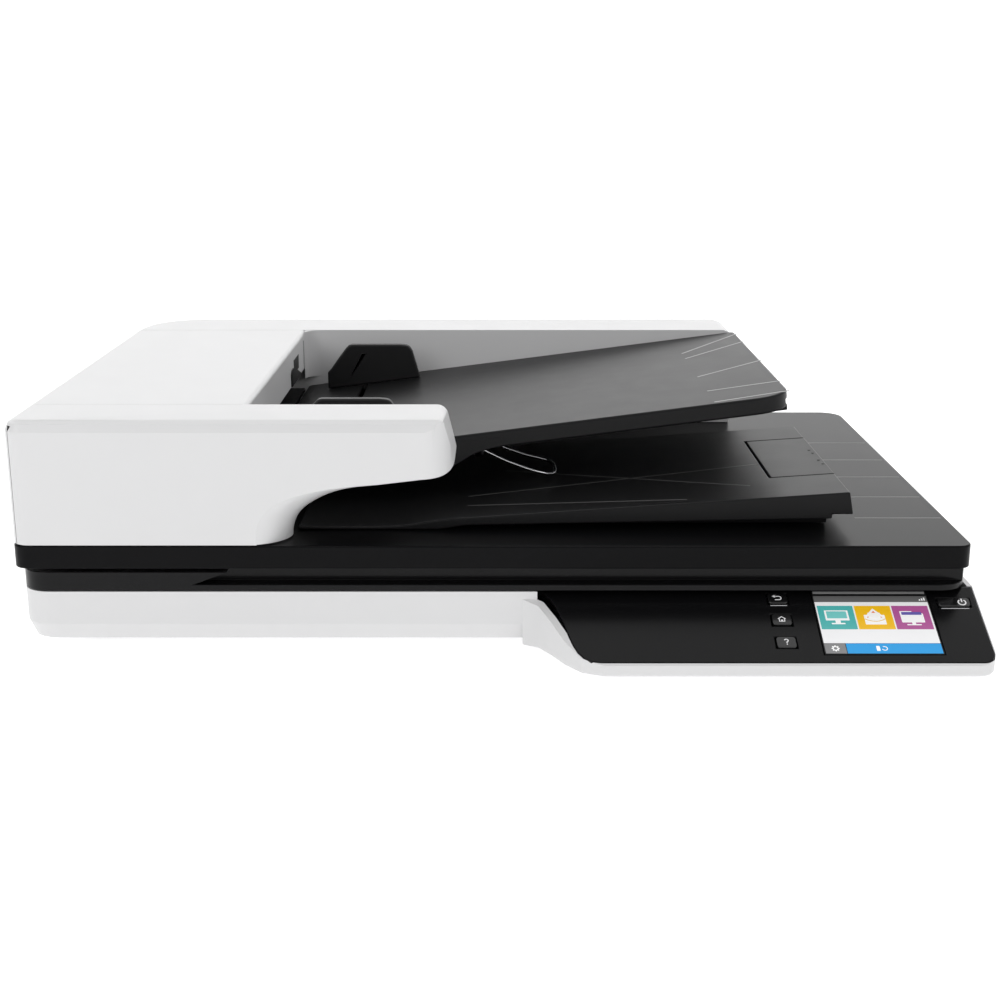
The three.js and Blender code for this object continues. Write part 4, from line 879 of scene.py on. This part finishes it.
# %% [markdown]
# ## The flare of the arch
# Where the cover arches over the catch tray, its edge is not cut straight back: it flares inward
# as a wide soft curve, widest at the foot and gone before the arm's end. The strip starts on the
# corners of the frame's own arch and is drawn inward in steps.

# %% Arch flare
COVER_FRONT = low("adf_housing").y / MM + 0.05
FLARE_DEPTH = 17.5
FLARE_END = ARM_RIGHT - 12
FLARE_LEAN = 0.35
FLARE_SKIN = 0.8
FLARE_STEPS = 10
INNER_CORNERS = ((14.8, 0), (15.2, 4), (17.0, 9), (20.5, 13.5), (27, 18), (36, 22.3), (50, 26.2), (64, 28.0))


def lengths(line):
    """How far along a line each of its points is, as shares of its length."""
    far = [0.0]
    for start, end in zip(line, line[1:]):
        far.append(far[-1] + math.dist(start, end))
    return [value / far[-1] for value in far]


def along(line, share):
    """The point of a line at a share of its length."""
    shares = lengths(line)
    k = max(index for index, value in enumerate(shares[:-1]) if value <= share)
    part = (share - shares[k]) / (shares[k + 1] - shares[k])
    return Vector(line[k]).lerp(Vector(line[k + 1]), part)


arch = sorted({(round(v.co.x / MM, 2), round(v.co.z / MM, 2)) for v in nodes["adf_housing"].data.vertices
               if v.co.y / MM < COVER_FRONT and HATCH_RIGHT < v.co.x / MM < FLARE_END
               and v.co.z / MM < COVER_TOP - 15})
arch[0] = (arch[0][0], arch[0][1] + 0.3)
foot_x, foot_z = arch[0]
inner = curve([*((foot_x + right, foot_z + up) for right, up in INNER_CORNERS), arch[-1]], 8)
print("arch corners", len(arch))

# %% [markdown]
# Each step extrudes the strip's last edges and moves them towards the inner curve, quickly at
# first and then more back than inward, so that the strip bends like a quarter of a circle.

# %% Draw the flare inward
bm = bmesh.new()
ring = [bm.verts.new(Vector((x, COVER_FRONT, z)) * MM) for x, z in arch]
edges = [bm.edges.new(pair) for pair in zip(ring, ring[1:])]
for step in range(1, FLARE_STEPS + 1):
    turn = step / FLARE_STEPS * math.pi / 2
    grown = bmesh.ops.extrude_edge_only(bm, edges=edges)["geom"]
    ring = [item for item in grown if isinstance(item, bmesh.types.BMVert)]
    edges = [item for item in grown if isinstance(item, bmesh.types.BMEdge)
             and all(vertex in ring for vertex in item.verts)]
    depth = FLARE_DEPTH * (FLARE_LEAN * step / FLARE_STEPS + (1 - FLARE_LEAN) * (1 - math.cos(turn)))
    for vertex, corner, share in zip(ring, arch, lengths(arch)):
        x, z = Vector(corner).lerp(along(inner, min(share, 0.9999)), math.sin(turn))
        vertex.co = Vector((x, COVER_FRONT + depth, z)) * MM
bmesh.ops.recalc_face_normals(bm, faces=bm.faces)
bmesh.ops.solidify(bm, geom=bm.faces[:], thickness=FLARE_SKIN * MM)
bmesh.ops.recalc_face_normals(bm, faces=bm.faces)
put(bm, "arch_flare", "lid", "white_case", smooth=50)

# %% [markdown]
# ## The wire and the pad
# The wire that holds delivered sheets down is round stock, so it is only smoothed. The white pad
# that presses a page on the glass is foam under a thin film, so its edges are soft.

# %% Wire and pad
put(cad_copy("paper_hold_wire"), "hold_wire_round", body_of["paper_hold_wire"], "steel",
    "paper_hold_wire", smooth=80)
pad = refined("document_pad", 0.6)

# %% [markdown]
# ## What stays as the frame made it
# Shafts, rollers, gears and boards are inside and have the right shape already. They get the
# finish of their slot.

# %% Finish for the pieces inside
for node, thing in nodes.items():
    thing.data.materials.clear()
    thing.data.materials.append(finishes.get(slot_of[node], finishes["charcoal"]))
